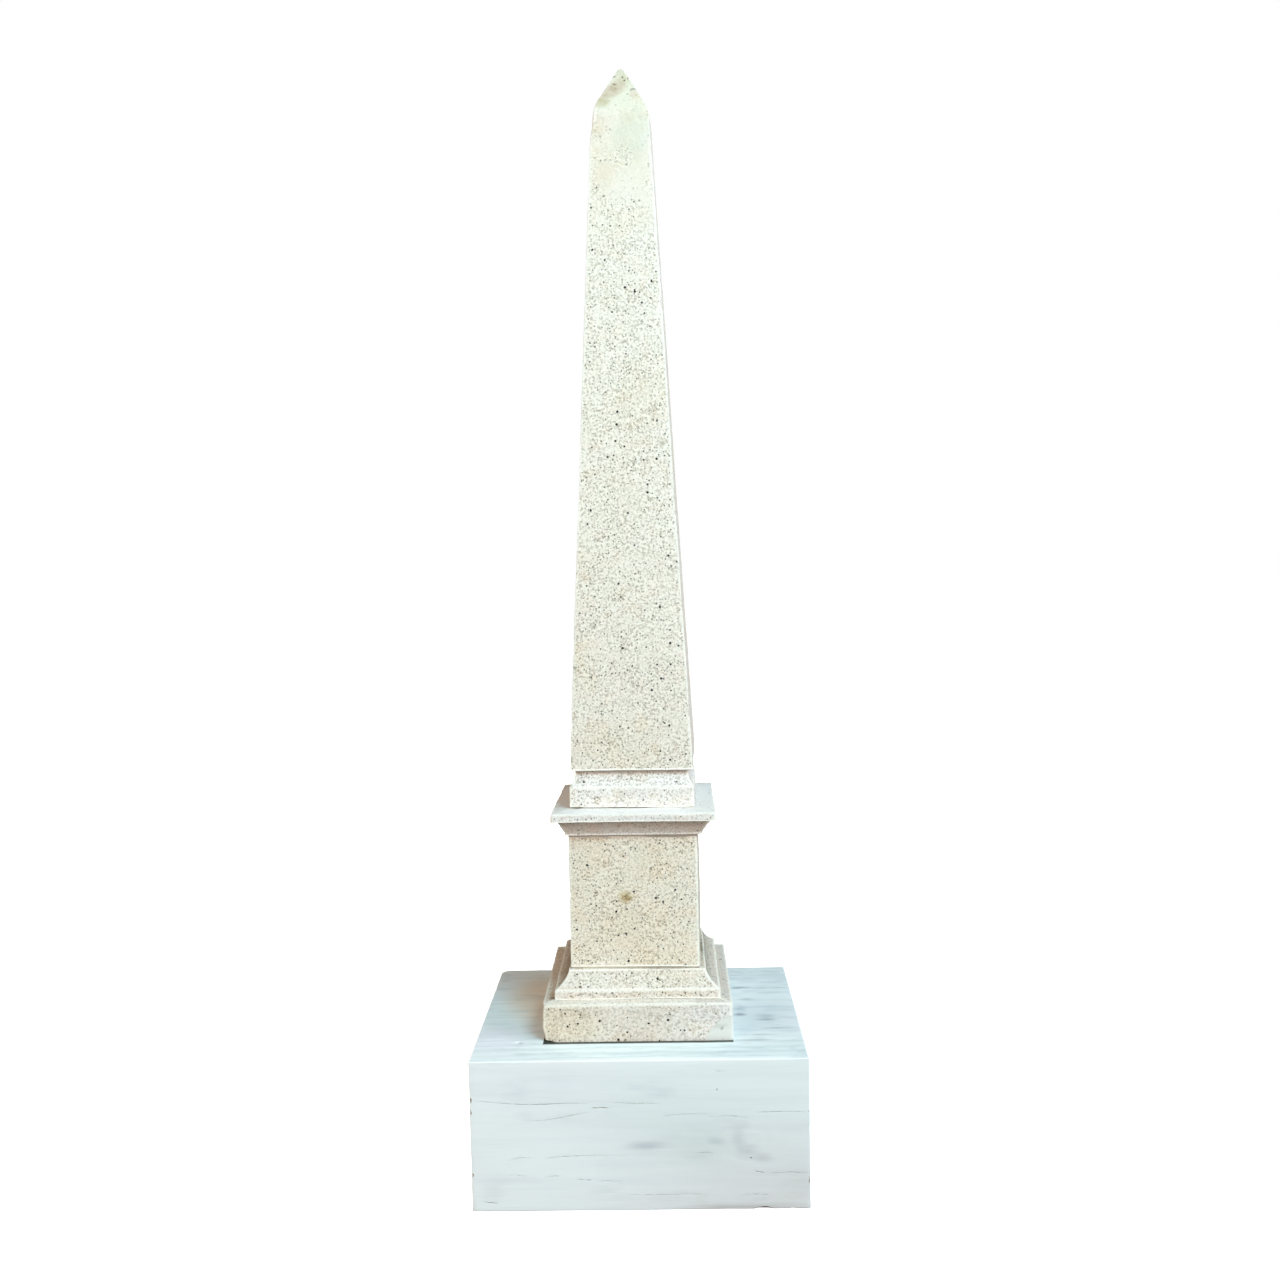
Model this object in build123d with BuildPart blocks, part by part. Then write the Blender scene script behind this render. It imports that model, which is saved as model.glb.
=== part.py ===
"""Small carved stone obelisk on a moulded pedestal, standing on a white-painted timber block.

Every stone is square on plan and stands on the one below it. Millimetres, +Z up. The origin
is the middle of the block's underside, with the block's long side along X and its front at -Y.
"""
from build123d import *
from math import atan, cos, degrees, radians, sin, tan
import os

# Timber block that carries the obelisk
block_width = 303.0
block_depth = 247.0
block_height = 138.3
block_arris = 3.0            # rounding of the upright and top edges
block_foot_arris = 1.5       # rounding of the edges round the underside

# Where the obelisk's axis stands on the block, from the block's middle
axis_x = -1.2
axis_y = 8.4

# Hand-set stones: how far each course is turned out of square, seen from above
die_turn = -2.0
cornice_turn = -0.7
shaft_turn = -2.0           # the socle is turned with the shaft

# Bedding joints between the stones, raked back from the faces
bed_thickness = 0.8
cornice_bed_thickness = 1.8  # the die's top is worn down, so this joint is wider
bed_recess = 1.5

# Plinth: the lowest, widest slab
plinth_width = 175.4
plinth_height = 35.6
plinth_arris = 1.5
repair_radius = 25.0         # broken lower corner, made good with filler
repair_drop = 4.0            # centre of the break below the plinth's underside

# Base moulding: a square fillet under a hollow
base_ledge = 10.4            # flat ledge of the plinth that shows round it
base_fillet_height = 8.8
base_hollow_height = 15.4
base_hollow_depth = 13.1
base_hollow_sagitta = 2.2

# Die: the plain body of the pedestal, a little wider at its foot
die_ledge = 3.1              # top of the base moulding that shows round the die
die_height = 124.2
die_batter = 0.6             # each face leans in by this much over its height

# Cornice: fillet, shallow hollow, corona and a sloping top
cornice_fillet_projection = 4.2
cornice_fillet_height = 2.0
cornice_hollow_height = 12.4
cornice_hollow_depth = 7.8
cornice_hollow_sagitta = 0.6
corona_projection = 4.1
corona_height = 8.6
corona_arris = 1.2
cornice_slope_rise = 1.8

# Socle: a plain step with a hollow neck above it
socle_setback = 17.8         # from the corona's face to the socle's
socle_step_height = 19.1
neck_height = 15.5
neck_hollow_depth = 5.0
neck_hollow_sagitta = 1.8

# Shaft: tapers to a pointed cap with rounded shoulders and a blunt tip
shaft_overhang = 4.2         # beyond the neck
shaft_foot_arris = 1.5
shaft_height = 600.6         # from its foot to the shoulders of the cap
shaft_top_width = 54.4
shoulder_radius = 30.0
cap_slope = 28.4             # each face of the cap, from upright, in degrees
tip_radius = 3.7

# Half widths that follow from those above
base_half = plinth_width / 2 - base_ledge
base_top_half = base_half - base_hollow_depth
die_foot_half = base_top_half - die_ledge
die_top_half = die_foot_half - die_batter
cornice_foot_half = die_top_half + cornice_fillet_projection
cornice_hollow_half = cornice_foot_half + cornice_hollow_depth
corona_half = cornice_hollow_half + corona_projection
socle_half = corona_half - socle_setback
neck_half = socle_half - neck_hollow_depth
shaft_foot_half = neck_half + shaft_overhang
shaft_top_half = shaft_top_width / 2

# Heights of the moulded stones
base_height = base_fillet_height + base_hollow_height
soffit_height = cornice_fillet_height + cornice_hollow_height
corona_top = soffit_height + corona_height
cornice_height = corona_top + cornice_slope_rise
socle_height = socle_step_height + neck_height


def bed_plane(z, turn=0.0):
    """Level plane on the obelisk's axis, turned with its course."""
    return Plane(origin=(axis_x, axis_y, z), x_dir=(cos(radians(turn)), sin(radians(turn)), 0))


def front_plane(bed):
    """Upright plane through the axis, facing the front of the stone that lies on the bed."""
    return Plane(origin=bed.origin, x_dir=bed.x_dir, z_dir=-bed.y_dir)


def side_plane(bed):
    """Upright plane through the axis, facing the right side of the same stone."""
    return Plane(origin=bed.origin, x_dir=bed.y_dir, z_dir=bed.x_dir)


# Levels, from the top of the block up
base_bed = bed_plane(block_height + plinth_height)
die_joint = bed_plane(base_bed.origin.Z + base_height, die_turn)
die_foot = bed_plane(die_joint.origin.Z + bed_thickness, die_turn)
die_top = bed_plane(die_foot.origin.Z + die_height, die_turn)
cornice_joint = bed_plane(die_top.origin.Z, cornice_turn)
cornice_foot = bed_plane(cornice_joint.origin.Z + cornice_bed_thickness, cornice_turn)
socle_foot = bed_plane(cornice_foot.origin.Z + cornice_height, shaft_turn)
shaft_joint = bed_plane(socle_foot.origin.Z + socle_height, shaft_turn)
shaft_foot = bed_plane(shaft_joint.origin.Z + bed_thickness, shaft_turn)


with BuildPart() as block:
    with BuildSketch():
        Rectangle(block_width, block_depth)
    extrude(amount=block_height)
    fillet(edges().filter_by(Axis.Z) + edges().group_by(Axis.Z)[-1], block_arris)
    fillet(edges().group_by(Axis.Z)[0], block_foot_arris)
block.part.label = "block"

# The plinth before its corner broke, then the two pieces that share the break
with BuildPart() as whole_plinth:
    with BuildSketch(bed_plane(block_height)):
        Rectangle(plinth_width, plinth_width)
    extrude(amount=plinth_height)
    fillet(edges().filter_by(Axis.Z) + edges().group_by(Axis.Z)[-1], plinth_arris)

break_centre = Location(
    (axis_x + plinth_width / 2, axis_y - plinth_width / 2, block_height - repair_drop)
)

with BuildPart() as plinth:
    add(whole_plinth.part)
    with Locations(break_centre):
        Sphere(repair_radius, mode=Mode.SUBTRACT)
plinth.part.label = "plinth"

with BuildPart() as plinth_repair:
    add(whole_plinth.part)
    with Locations(break_centre):
        Sphere(repair_radius, mode=Mode.INTERSECT)
plinth_repair.part.label = "plinth_repair"

# Each moulded stone is its outline run through from the front and from the side: what both
# runs share is square on plan, with mitred corners.
through = 2 * plinth_width

with BuildPart() as base_moulding:
    with BuildSketch(front_plane(base_bed)) as base_outline:
        with BuildLine():
            foot = Line((0, 0), (base_half, 0))
            fillet_face = Line(foot @ 1, (base_half, base_fillet_height))
            hollow = SagittaArc(fillet_face @ 1, (base_top_half, base_height), base_hollow_sagitta)
            top = Line(hollow @ 1, (0, base_height))
            Line(top @ 1, foot @ 0)
        make_face()
        mirror(about=Plane.YZ)
    extrude(amount=through, both=True)
    with BuildSketch(side_plane(base_bed)):
        add(base_outline.sketch_local)
    extrude(amount=through, both=True, mode=Mode.INTERSECT)
base_moulding.part.label = "base_moulding"

with BuildPart() as die_bed:
    with BuildSketch(die_joint):
        Rectangle(2 * (die_foot_half - bed_recess), 2 * (die_foot_half - bed_recess))
    extrude(amount=bed_thickness)
die_bed.part.label = "die_bed"

with BuildPart() as die:
    with BuildSketch(die_foot):
        Rectangle(2 * die_foot_half, 2 * die_foot_half)
    with BuildSketch(die_top):
        Rectangle(2 * die_top_half, 2 * die_top_half)
    loft()
die.part.label = "die"

with BuildPart() as cornice_bed:
    with BuildSketch(cornice_joint):
        Rectangle(2 * (die_top_half - bed_recess), 2 * (die_top_half - bed_recess))
    extrude(amount=cornice_bed_thickness)
cornice_bed.part.label = "cornice_bed"

with BuildPart() as cornice:
    with BuildSketch(front_plane(cornice_foot)) as cornice_outline:
        with BuildLine():
            foot = Line((0, 0), (cornice_foot_half, 0))
            fillet_face = Line(foot @ 1, (cornice_foot_half, cornice_fillet_height))
            hollow = SagittaArc(
                fillet_face @ 1, (cornice_hollow_half, soffit_height), cornice_hollow_sagitta
            )
            soffit = Line(hollow @ 1, (corona_half, soffit_height))
            corona_face = Line(soffit @ 1, (corona_half, corona_top - corona_arris))
            arris = TangentArc(
                corona_face @ 1, (corona_half - corona_arris, corona_top), tangent=(0, 1)
            )
            slope = Line(arris @ 1, (socle_half, cornice_height))
            top = Line(slope @ 1, (0, cornice_height))
            Line(top @ 1, foot @ 0)
        make_face()
        mirror(about=Plane.YZ)
    extrude(amount=through, both=True)
    with BuildSketch(side_plane(cornice_foot)):
        add(cornice_outline.sketch_local)
    extrude(amount=through, both=True, mode=Mode.INTERSECT)
cornice.part.label = "cornice"

with BuildPart() as socle:
    with BuildSketch(front_plane(socle_foot)) as socle_outline:
        with BuildLine():
            foot = Line((0, 0), (socle_half, 0))
            face = Line(foot @ 1, (socle_half, socle_step_height))
            hollow = SagittaArc(face @ 1, (neck_half, socle_height), neck_hollow_sagitta)
            top = Line(hollow @ 1, (0, socle_height))
            Line(top @ 1, foot @ 0)
        make_face()
        mirror(about=Plane.YZ)
    extrude(amount=through, both=True)
    with BuildSketch(side_plane(socle_foot)):
        add(socle_outline.sketch_local)
    extrude(amount=through, both=True, mode=Mode.INTERSECT)
socle.part.label = "socle"

with BuildPart() as shaft_bed:
    with BuildSketch(shaft_joint):
        Rectangle(2 * (neck_half - bed_recess), 2 * (neck_half - bed_recess))
    extrude(amount=bed_thickness)
shaft_bed.part.label = "shaft_bed"

# The cap's faces leave the shaft's by an arc, run straight, and close in a small round tip
shaft_lean = degrees(atan((shaft_foot_half - shaft_top_half) / shaft_height))
slope = radians(cap_slope)
tip_half = tip_radius * cos(slope)

with BuildPart() as shaft:
    with BuildSketch(front_plane(shaft_foot)) as shaft_outline:
        with BuildLine():
            foot = Line((0, 0), (shaft_foot_half - shaft_foot_arris, 0))
            arris = TangentArc(foot @ 1, (shaft_foot_half, shaft_foot_arris), tangent=(1, 0))
            face = Line(arris @ 1, (shaft_top_half, shaft_height))
            shoulder = JernArc(face @ 1, face % 1, shoulder_radius, cap_slope - shaft_lean)
            cap_rise = ((shoulder @ 1).X - tip_half) / tan(slope)
            cap_face = Line(shoulder @ 1, (tip_half, (shoulder @ 1).Y + cap_rise))
            tip_height = (cap_face @ 1).Y + tip_radius * (1 - sin(slope))
            tip = TangentArc(cap_face @ 1, (0, tip_height), tangent=cap_face % 1)
            Line(tip @ 1, foot @ 0)
        make_face()
        mirror(about=Plane.YZ)
    extrude(amount=through, both=True)
    with BuildSketch(side_plane(shaft_foot)):
        add(shaft_outline.sketch_local)
    extrude(amount=through, both=True, mode=Mode.INTERSECT)
shaft.part.label = "shaft"

os.makedirs("parts", exist_ok=True)
export_step(block.part, "parts/block.step")
export_step(plinth.part, "parts/plinth.step")
export_step(plinth_repair.part, "parts/plinth_repair.step")
export_step(base_moulding.part, "parts/base_moulding.step")
export_step(die_bed.part, "parts/die_bed.step")
export_step(die.part, "parts/die.step")
export_step(cornice_bed.part, "parts/cornice_bed.step")
export_step(cornice.part, "parts/cornice.step")
export_step(socle.part, "parts/socle.step")
export_step(shaft_bed.part, "parts/shaft_bed.step")
export_step(shaft.part, "parts/shaft.step")
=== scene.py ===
"""Looks of a small carved stone obelisk that stands on a white-painted timber block.

Laid out as an add-on: one operator for each piece or group of like pieces, and one for the
studio. Sizes that a user would change are properties, in metres. The other sizes are named
values in millimetres, and MM turns them to Blender's metres. Every piece is built in the
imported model's own frame: +Z up, the block's front at -Y.
"""
import math

import bmesh
import bpy
from bpy.props import FloatProperty, FloatVectorProperty, IntProperty, PointerProperty
from mathutils import Matrix, Vector, noise


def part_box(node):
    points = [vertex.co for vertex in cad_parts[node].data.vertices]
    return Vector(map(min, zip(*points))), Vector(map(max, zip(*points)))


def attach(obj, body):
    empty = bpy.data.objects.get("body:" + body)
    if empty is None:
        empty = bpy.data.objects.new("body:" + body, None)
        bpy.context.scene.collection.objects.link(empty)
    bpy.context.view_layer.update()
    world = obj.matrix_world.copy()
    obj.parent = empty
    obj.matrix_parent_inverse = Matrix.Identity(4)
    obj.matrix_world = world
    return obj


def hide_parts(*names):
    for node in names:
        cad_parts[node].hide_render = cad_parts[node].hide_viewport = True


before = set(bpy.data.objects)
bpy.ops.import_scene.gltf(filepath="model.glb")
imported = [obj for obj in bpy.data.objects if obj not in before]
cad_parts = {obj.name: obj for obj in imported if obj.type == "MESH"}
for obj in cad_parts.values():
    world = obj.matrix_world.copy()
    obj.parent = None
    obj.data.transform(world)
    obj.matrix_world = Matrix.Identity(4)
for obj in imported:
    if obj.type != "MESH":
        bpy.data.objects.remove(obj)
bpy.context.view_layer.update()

bl_info = {
    "name": "Stone Obelisk",
    "version": (1, 0, 0),
    "blender": (4, 5, 0),
    "location": "3D View > Sidebar > Obelisk",
    "description": "Builds a hand-cut stone obelisk on its painted timber block",
    "category": "Add Mesh",
}

MM = 0.001


def linear(hex_colour):
    """Turn an sRGB hex colour such as "#E4E0CC" into linear red, green and blue."""
    channels = [int(hex_colour[i:i + 2], 16) / 255 for i in (1, 3, 5)]
    return [c / 12.92 if c <= 0.04045 else ((c + 0.055) / 1.055) ** 2.4 for c in channels]


def tone(tint):
    """A colour as the sockets want it, from an sRGB hex value or three linear numbers."""
    return (*(linear(tint) if isinstance(tint, str) else tint), 1.0)


# ---------------------------------------------------------------- sizes, millimetres

# How far each course is turned out of square by hand, in degrees seen from above
DIE_TURN = -2.0
CORNICE_TURN = -0.7
SHAFT_TURN = -2.0

# Mouldings, measured up from each stone's own bed
BASE_LEDGE = 10.4
LEDGE_FALL = 1.0
BASE_FILLET_HEIGHT = 8.8
BASE_HOLLOW_DEPTH = 13.1
BASE_HOLLOW_SAGITTA = 2.2
CORNICE_FILLET_HEIGHT = 2.0
CORNICE_HOLLOW_DEPTH = 7.8
CORNICE_HOLLOW_SAGITTA = 0.6
SOFFIT_HEIGHT = 14.4
SOFFIT_RISE = 0.6             # how far the corona's edge is worn up from its soffit
CORONA_TOP = 23.0
CORONA_PROJECTION = 4.1
NECK_HOLLOW_DEPTH = 5.0
NECK_HOLLOW_SAGITTA = 1.8
SOCLE_STEP_HEIGHT = 19.1
SHAFT_HEIGHT = 600.6
SHAFT_TOP_HALF = 27.2
SHOULDER_RADIUS = 30.0
CAP_SLOPE = math.radians(28.4)
TIP_RADIUS = 3.7
TIP_END = math.radians(84)    # slope at which the rounded tip closes
REPAIR_RADIUS = 25.0
REPAIR_DROP = 4.0
REPAIR_GAP = 0.12

# Worn edges and mesh density
CRISP_ARRIS = 0.5            # anything rounded less than this has no wear
LIP_ARRIS = 0.35             # anything rounded less than this shows as a bright thin lip
LIP_WIDTH = 1.5
STONE_GRID = 2.2             # mesh cell on the stones' faces
MOULDING_GRID = 1.3          # mesh cell on the mouldings
WEAR_WIDTH = 5.0             # how far from an arris the wear reaches
ROUND_SHARE = 0.45           # the most of a side that the rounding of its end takes up
CUT_ANGLE = math.radians(40)  # an edge left by a cut is shaded hard if it's sharper than this
BED_SINK = 8.0               # how far in from the arris a hidden bed face starts
BED_RAKE = 1.5               # how far a bed of mortar lies behind the stones' faces
SEAT_SLOPE = (3.6, 2.6)      # how far in from the arris a joint's lip starts and ends to slope
JOINT_LIP = 0.5              # how far the die's top edge stands up into the joint above it
SEAT_DROP = 0.75             # how far a stone's outer lip hangs into the joint below it

# Timber block
BLOCK_ARRIS = 0.9
BLOCK_FOOT_ARRIS = 1.5
FOOT_RISE = 12.0             # height over which the foot's rounding passes into the others'
CORNER_WEAR = 11.0           # how much rounder the back left corner is at its top
CORNER_WEAR_FOOT = 20.0      # height where that wear starts
GRAIN_STEP_ALONG = 3.7       # mesh cell along the grain
GRAIN_STEP_ACROSS = 1.25     # mesh cell across the grain
RING_WIDTH = 9.5             # one year's growth
PITH = (52.0, 34.0)          # Y and Z of the tree's centre in the block
CHECK_WIDTH = 0.5            # the narrowest drying check that still shows
CHECK_DEPTH = 1.5


# ---------------------------------------------------------------- settings

LENGTH = {"unit": "LENGTH", "subtype": "DISTANCE"}
COLOUR = {"size": 3, "min": 0.0, "max": 1.0, "subtype": "COLOR"}


class OBELISK_PG_stone(bpy.types.PropertyGroup):
    """Finish of the stones."""
    wave_depth: FloatProperty(
        name="Wave Depth", description="How far the hand-rubbed faces stray from flat",
        default=0.7 * MM, min=0.0, **LENGTH)
    tool_depth: FloatProperty(
        name="Tool Depth", description="Depth of the fine marks that rubbing leaves",
        default=0.16 * MM, min=0.0, **LENGTH)
    chip_depth: FloatProperty(
        name="Chip Depth", description="Depth of the chips along the stones' arrises",
        default=1.3 * MM, min=0.0, **LENGTH)
    fleck_size: FloatProperty(
        name="Fleck Spacing", description="Distance between the small grey flecks",
        default=2.5 * MM, min=0.1 * MM, **LENGTH)
    shaft_colour: FloatVectorProperty(
        name="Shaft Colour", description="Ground colour of the shaft's paler stone",
        default=linear("#EAE1D4"), **COLOUR)
    pedestal_colour: FloatVectorProperty(
        name="Pedestal Colour", description="Ground colour of the pedestal's warmer stone",
        default=linear("#EBE1D0"), **COLOUR)
    seed: IntProperty(
        name="Seed", description="Changes where waves and chips fall", default=4, min=0)


class OBELISK_PG_timber(bpy.types.PropertyGroup):
    """Finish of the timber block."""
    ridge_depth: FloatProperty(
        name="Ridge Depth", description="Height of the grain that stands up through the paint",
        default=0.55 * MM, min=0.0, **LENGTH)
    ripple_depth: FloatProperty(
        name="Ripple Depth", description="Depth of the long ripples that the saw left",
        default=0.5 * MM, min=0.0, **LENGTH)
    paint_colour: FloatVectorProperty(
        name="Paint Colour", description="Colour of the sound white paint",
        default=linear("#F8FDFD"), **COLOUR)
    streak_colour: FloatVectorProperty(
        name="Streak Colour", description="Colour of the wood that shows through thin paint",
        default=linear("#8FA6B6"), **COLOUR)
    seed: IntProperty(
        name="Seed", description="Changes the fine streaks", default=2, min=0)


class OBELISK_PG_studio(bpy.types.PropertyGroup):
    """Floor and lights."""
    floor_radius: FloatProperty(
        name="Floor Radius", description="Radius of the pale floor",
        default=4.0, min=1.0, **LENGTH)
    light_level: FloatProperty(
        name="Light Level", description="Brightness of all the lights together",
        default=1.0, min=0.0, subtype="FACTOR")


# ---------------------------------------------------------------- node trees

def feed(tree, node, inputs):
    """Feed a node's live inputs, found by name or place, from values, nodes or sockets."""
    live = [socket for socket in node.inputs if socket.enabled]
    for key, value in inputs.items():
        named = [s for s in live if key in (s.name, s.identifier)]
        socket = live[key] if isinstance(key, int) else named[0]
        if isinstance(value, bpy.types.Node):
            value = [s for s in value.outputs if s.enabled][0]
        if isinstance(value, bpy.types.NodeSocket):
            tree.links.new(value, socket)
        else:
            socket.default_value = value


def add(tree, kind, *values, inputs=None, **settings):
    """Add one node with its settings, fed by values in order and by inputs of the given names."""
    node = tree.nodes.new(kind)
    for name, value in settings.items():
        setattr(node, name, value)
    feed(tree, node, {**dict(enumerate(values)), **(inputs or {})})
    return node


def new_material(name):
    """An empty node material with its Principled shader, ready for add()."""
    material = bpy.data.materials.new(name)
    material.use_nodes = True
    tree = material.node_tree
    tree.nodes.clear()
    shader = add(tree, "ShaderNodeBsdfPrincipled")
    add(tree, "ShaderNodeOutputMaterial", inputs={"Surface": shader})
    return material, tree, shader


# Relief, layer by layer: its label, the attributes that hold it back, the noise's detail, the
# values between which it goes from nothing to its whole depth, and how it eases between them.
# A layer with no detail follows the growth rings.
STONE_LAYERS = (
    ("Wave", ("shown",), 1.0, 0.25, 0.75, "SMOOTHSTEP"),
    ("Tool", ("shown",), 3.0, 0.30, 0.70, "SMOOTHSTEP"),
    ("Chip", ("shown", "arris"), 4.0, 0.50, 0.72, "SMOOTHSTEP"),
)
TIMBER_LAYERS = (
    ("Ridge", ("relief",), None, 1.0, -1.0, "LINEAR"),
    ("Ripple", ("relief",), 3.0, 0.3, 0.7, "LINEAR"),
    ("Chip", ("arris",), 4.0, 0.52, 0.75, "SMOOTHSTEP"),
)


def relief_tree(name, layers, stretch):
    """A tree that cuts a surface inwards along its normal, layer by layer.

    The stretch draws the noise out along X. Each layer has its depth, and its size where it's
    noise, as inputs. Hidden beds stay flat and chips keep to the edges by the attributes.
    """
    tree = bpy.data.node_groups.new(name, "GeometryNodeTree")
    tree.is_modifier = True
    sockets = [("Geometry", "Geometry")]
    for label, _, detail, *_ in layers:
        sockets.append((label + " Depth", "Float"))
        if detail:
            sockets.append((label + " Size", "Float"))
    for label, kind in (*sockets, ("Seed", "Int"), ("Material", "Material")):
        tree.interface.new_socket(label, in_out="INPUT", socket_type="NodeSocket" + kind)
    tree.interface.new_socket("Geometry", in_out="OUTPUT", socket_type="NodeSocketGeometry")
    given = add(tree, "NodeGroupInput").outputs
    place = add(tree, "ShaderNodeVectorMath", add(tree, "GeometryNodeInputPosition"),
                (stretch, 1.0, 1.0), operation="MULTIPLY")
    total = 0.0
    for label, masks, detail, low, high, easing in layers:
        if detail:
            per_metre = add(tree, "ShaderNodeMath", 1.0, given[label + " Size"], operation="DIVIDE")
            source = add(tree, "ShaderNodeTexNoise", noise_dimensions="4D", inputs={
                "Vector": place, "W": given["Seed"], "Scale": per_metre, "Detail": detail})
        else:
            rings = add(tree, "GeometryNodeInputNamedAttribute", "rings", data_type="FLOAT")
            turns = add(tree, "ShaderNodeMath", rings, math.tau, operation="MULTIPLY")
            source = add(tree, "ShaderNodeMath", turns, operation="SINE")
        depth = add(tree, "ShaderNodeMapRange", source, low, high, 0.0, given[label + " Depth"],
                    interpolation_type=easing)
        for mask in masks:
            held = add(tree, "GeometryNodeInputNamedAttribute", mask, data_type="FLOAT")
            depth = add(tree, "ShaderNodeMath", depth, held, operation="MULTIPLY")
        total = add(tree, "ShaderNodeMath", total, depth, operation="ADD")
    inward = add(tree, "ShaderNodeMath", total, -1.0, operation="MULTIPLY")
    offset = add(tree, "ShaderNodeVectorMath", add(tree, "GeometryNodeInputNormal"), inward,
                 operation="SCALE")
    shape = given["Geometry"]
    for kind, inputs in (
            ("GeometryNodeSetPosition", {"Offset": offset}), ("GeometryNodeSetShadeSmooth", {}),
            ("GeometryNodeRealizeInstances", {}),
            ("GeometryNodeSetMaterial", {"Material": given["Material"]}), ("NodeGroupOutput", {})):
        shape = add(tree, kind, inputs={"Geometry": shape, **inputs})
    return tree


# ---------------------------------------------------------------- stone meshes

ARC_STEPS = 5
CORNER_STEPS = 6
HOLLOW_STEPS = 9
BED_SHARES = (0.12, 0.4, 0.66, 0.84, 0.94)


def arc(start, pull, end, share):
    """Point on the curve from start to end that's drawn towards the pull."""
    return start * (1 - share) ** 2 + pull * 2 * share * (1 - share) + end * share ** 2


def hollow(start, end, sagitta):
    """Plain corners between two points along a hollow that is sagitta deep."""
    start, end = Vector(start), Vector(end)
    chord = end - start
    pull = (start + end) / 2 + Vector((-chord.y, chord.x)).normalized() * 2 * sagitta
    return [(*arc(start, pull, end, i / HOLLOW_STEPS), 0.0) for i in range(1, HOLLOW_STEPS)]


def eased(corners, step=STONE_GRID):
    """Outline of (half width, height, wear, lip) through corners of (half width, height, radius).

    Each corner is rounded by its own radius. Wear is 1 on an outward arris and fades along the
    faces beside it, but an arris that's hardly rounded has stayed crisp in its joint. Lip is 1
    on the crispest of those.
    """
    line = [(Vector(corners[0][:2]), False, False)]
    for before, corner, after in zip(corners, corners[1:], corners[2:]):
        point, radius = Vector(corner[:2]), corner[2]
        back, on = Vector(before[:2]) - point, Vector(after[:2]) - point
        reach = min(radius, back.length * ROUND_SHARE, on.length * ROUND_SHARE)
        if reach == 0.0:
            line.append((point, False, False))
            continue
        outward = back.x * on.y - back.y * on.x < 0
        start, end = point + back.normalized() * reach, point + on.normalized() * reach
        line += [(arc(start, point, end, i / ARC_STEPS),
                  outward and radius >= CRISP_ARRIS, outward and radius < LIP_ARRIS)
                 for i in range(ARC_STEPS + 1)]
    line.append((Vector(corners[-1][:2]), False, False))

    samples, edges, lips, run = [], [], [], 0.0
    for (a, worn, lipped), (b, _, _) in zip(line, line[1:]):
        length = (b - a).length
        edges += [run] if worn else []
        lips += [run] if lipped else []
        pieces = max(1, math.ceil(length / step))
        samples += [(a.lerp(b, i / pieces), run + length * i / pieces) for i in range(pieces)]
        run += length
    samples.append((line[-1][0], run))
    return [(*place, *(max([0.0] + [1 - abs(along - mark) / width for mark in marks])
                       for marks, width in ((edges, WEAR_WIDTH), (lips, LIP_WIDTH))))
            for place, along in samples]


def ring(half, radius, side_steps):
    """Points anticlockwise round a rounded square, each with its nearness to a corner."""
    radius = min(radius, half * 0.6)
    flat = half - radius
    points = []
    for quarter in range(4):
        turn = Matrix.Rotation(quarter * math.pi / 2, 2)
        for i in range(CORNER_STEPS + 1):
            angle = i / CORNER_STEPS * math.pi / 2
            corner = Vector((flat + radius * math.cos(angle), flat + radius * math.sin(angle)))
            points.append((turn @ corner, 1.0))
        for i in range(1, side_steps):
            along = i / side_steps * 2 * flat
            near = 1 - min(along, 2 * flat - along) / WEAR_WIDTH
            points.append((turn @ Vector((flat - along, half)), max(0.0, near)))
    return points


def square_stone(name, outline, centre, turn, corner_radius, knocks=()):
    """A closed stone, square on plan, from its outline, turned about the obelisk's axis.

    A knock is (point, radius, push): the surface near the point is moved by the push. Points
    and pushes are in the part's frame.
    """
    foot, head = outline[0], outline[-1]
    rings = [(foot[0] * share, foot[1], 0.0, 0.0, 0.0) for share in BED_SHARES]
    rings += [(*foot, 0.0)] + [(*level, 1.0) for level in outline[1:]]
    if head[0] > TIP_RADIUS:
        rings += [(head[0] * share, head[1], 0.0, 0.0, 0.0) for share in reversed(BED_SHARES)]
    side_steps = round(2 * max(level[0] for level in outline) / STONE_GRID)
    spin = Matrix.Rotation(math.radians(turn), 3, "Z")
    rows = [(spin @ Vector((*point, height)) + centre, max(wear, corner), lip, visible)
            for half, height, wear, lip, visible in rings
            for point, corner in ring(half, corner_radius, side_steps)]
    count = len(rows) // len(rings)
    faces = []
    for level in range(len(rings) - 1):
        for i in range(count):
            here, there = level * count + i, level * count + (i + 1) % count
            faces.append((here, there, there + count, here + count))
    for height, level, flip in ((foot[1], 0, True), (head[1], len(rings) - 1, False)):
        pole = len(rows)
        rows.append((Vector((0, 0, height)) + centre, 0.0, 0.0, 0.0))
        for i in range(count):
            here, there = level * count + i, level * count + (i + 1) % count
            faces.append((there, here, pole) if flip else (here, there, pole))
    verts, arris, lips, shown = zip(*rows)
    for point, radius, push in knocks:
        for vert in verts:
            near = 1 - ((vert - point).length / radius) ** 2
            if near > 0:
                vert += push * near ** 2
    return mesh_piece(name, verts, faces, {"arris": arris, "lip": lips, "shown": shown})


def mesh_piece(name, verts, faces, attributes=None):
    """A mesh object at the origin from vertices in millimetres, with its float attributes."""
    mesh = bpy.data.meshes.new(name)
    mesh.from_pydata([vert * MM for vert in verts], [], faces)
    for label, values in (attributes or {}).items():
        mesh.attributes.new(label, "FLOAT", "POINT").data.foreach_set("value", values)
    return placed(name, mesh)


def placed(name, data):
    """An object with that data, linked to the scene."""
    thing = bpy.data.objects.new(name, data)
    bpy.context.scene.collection.objects.link(thing)
    return thing


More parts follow.
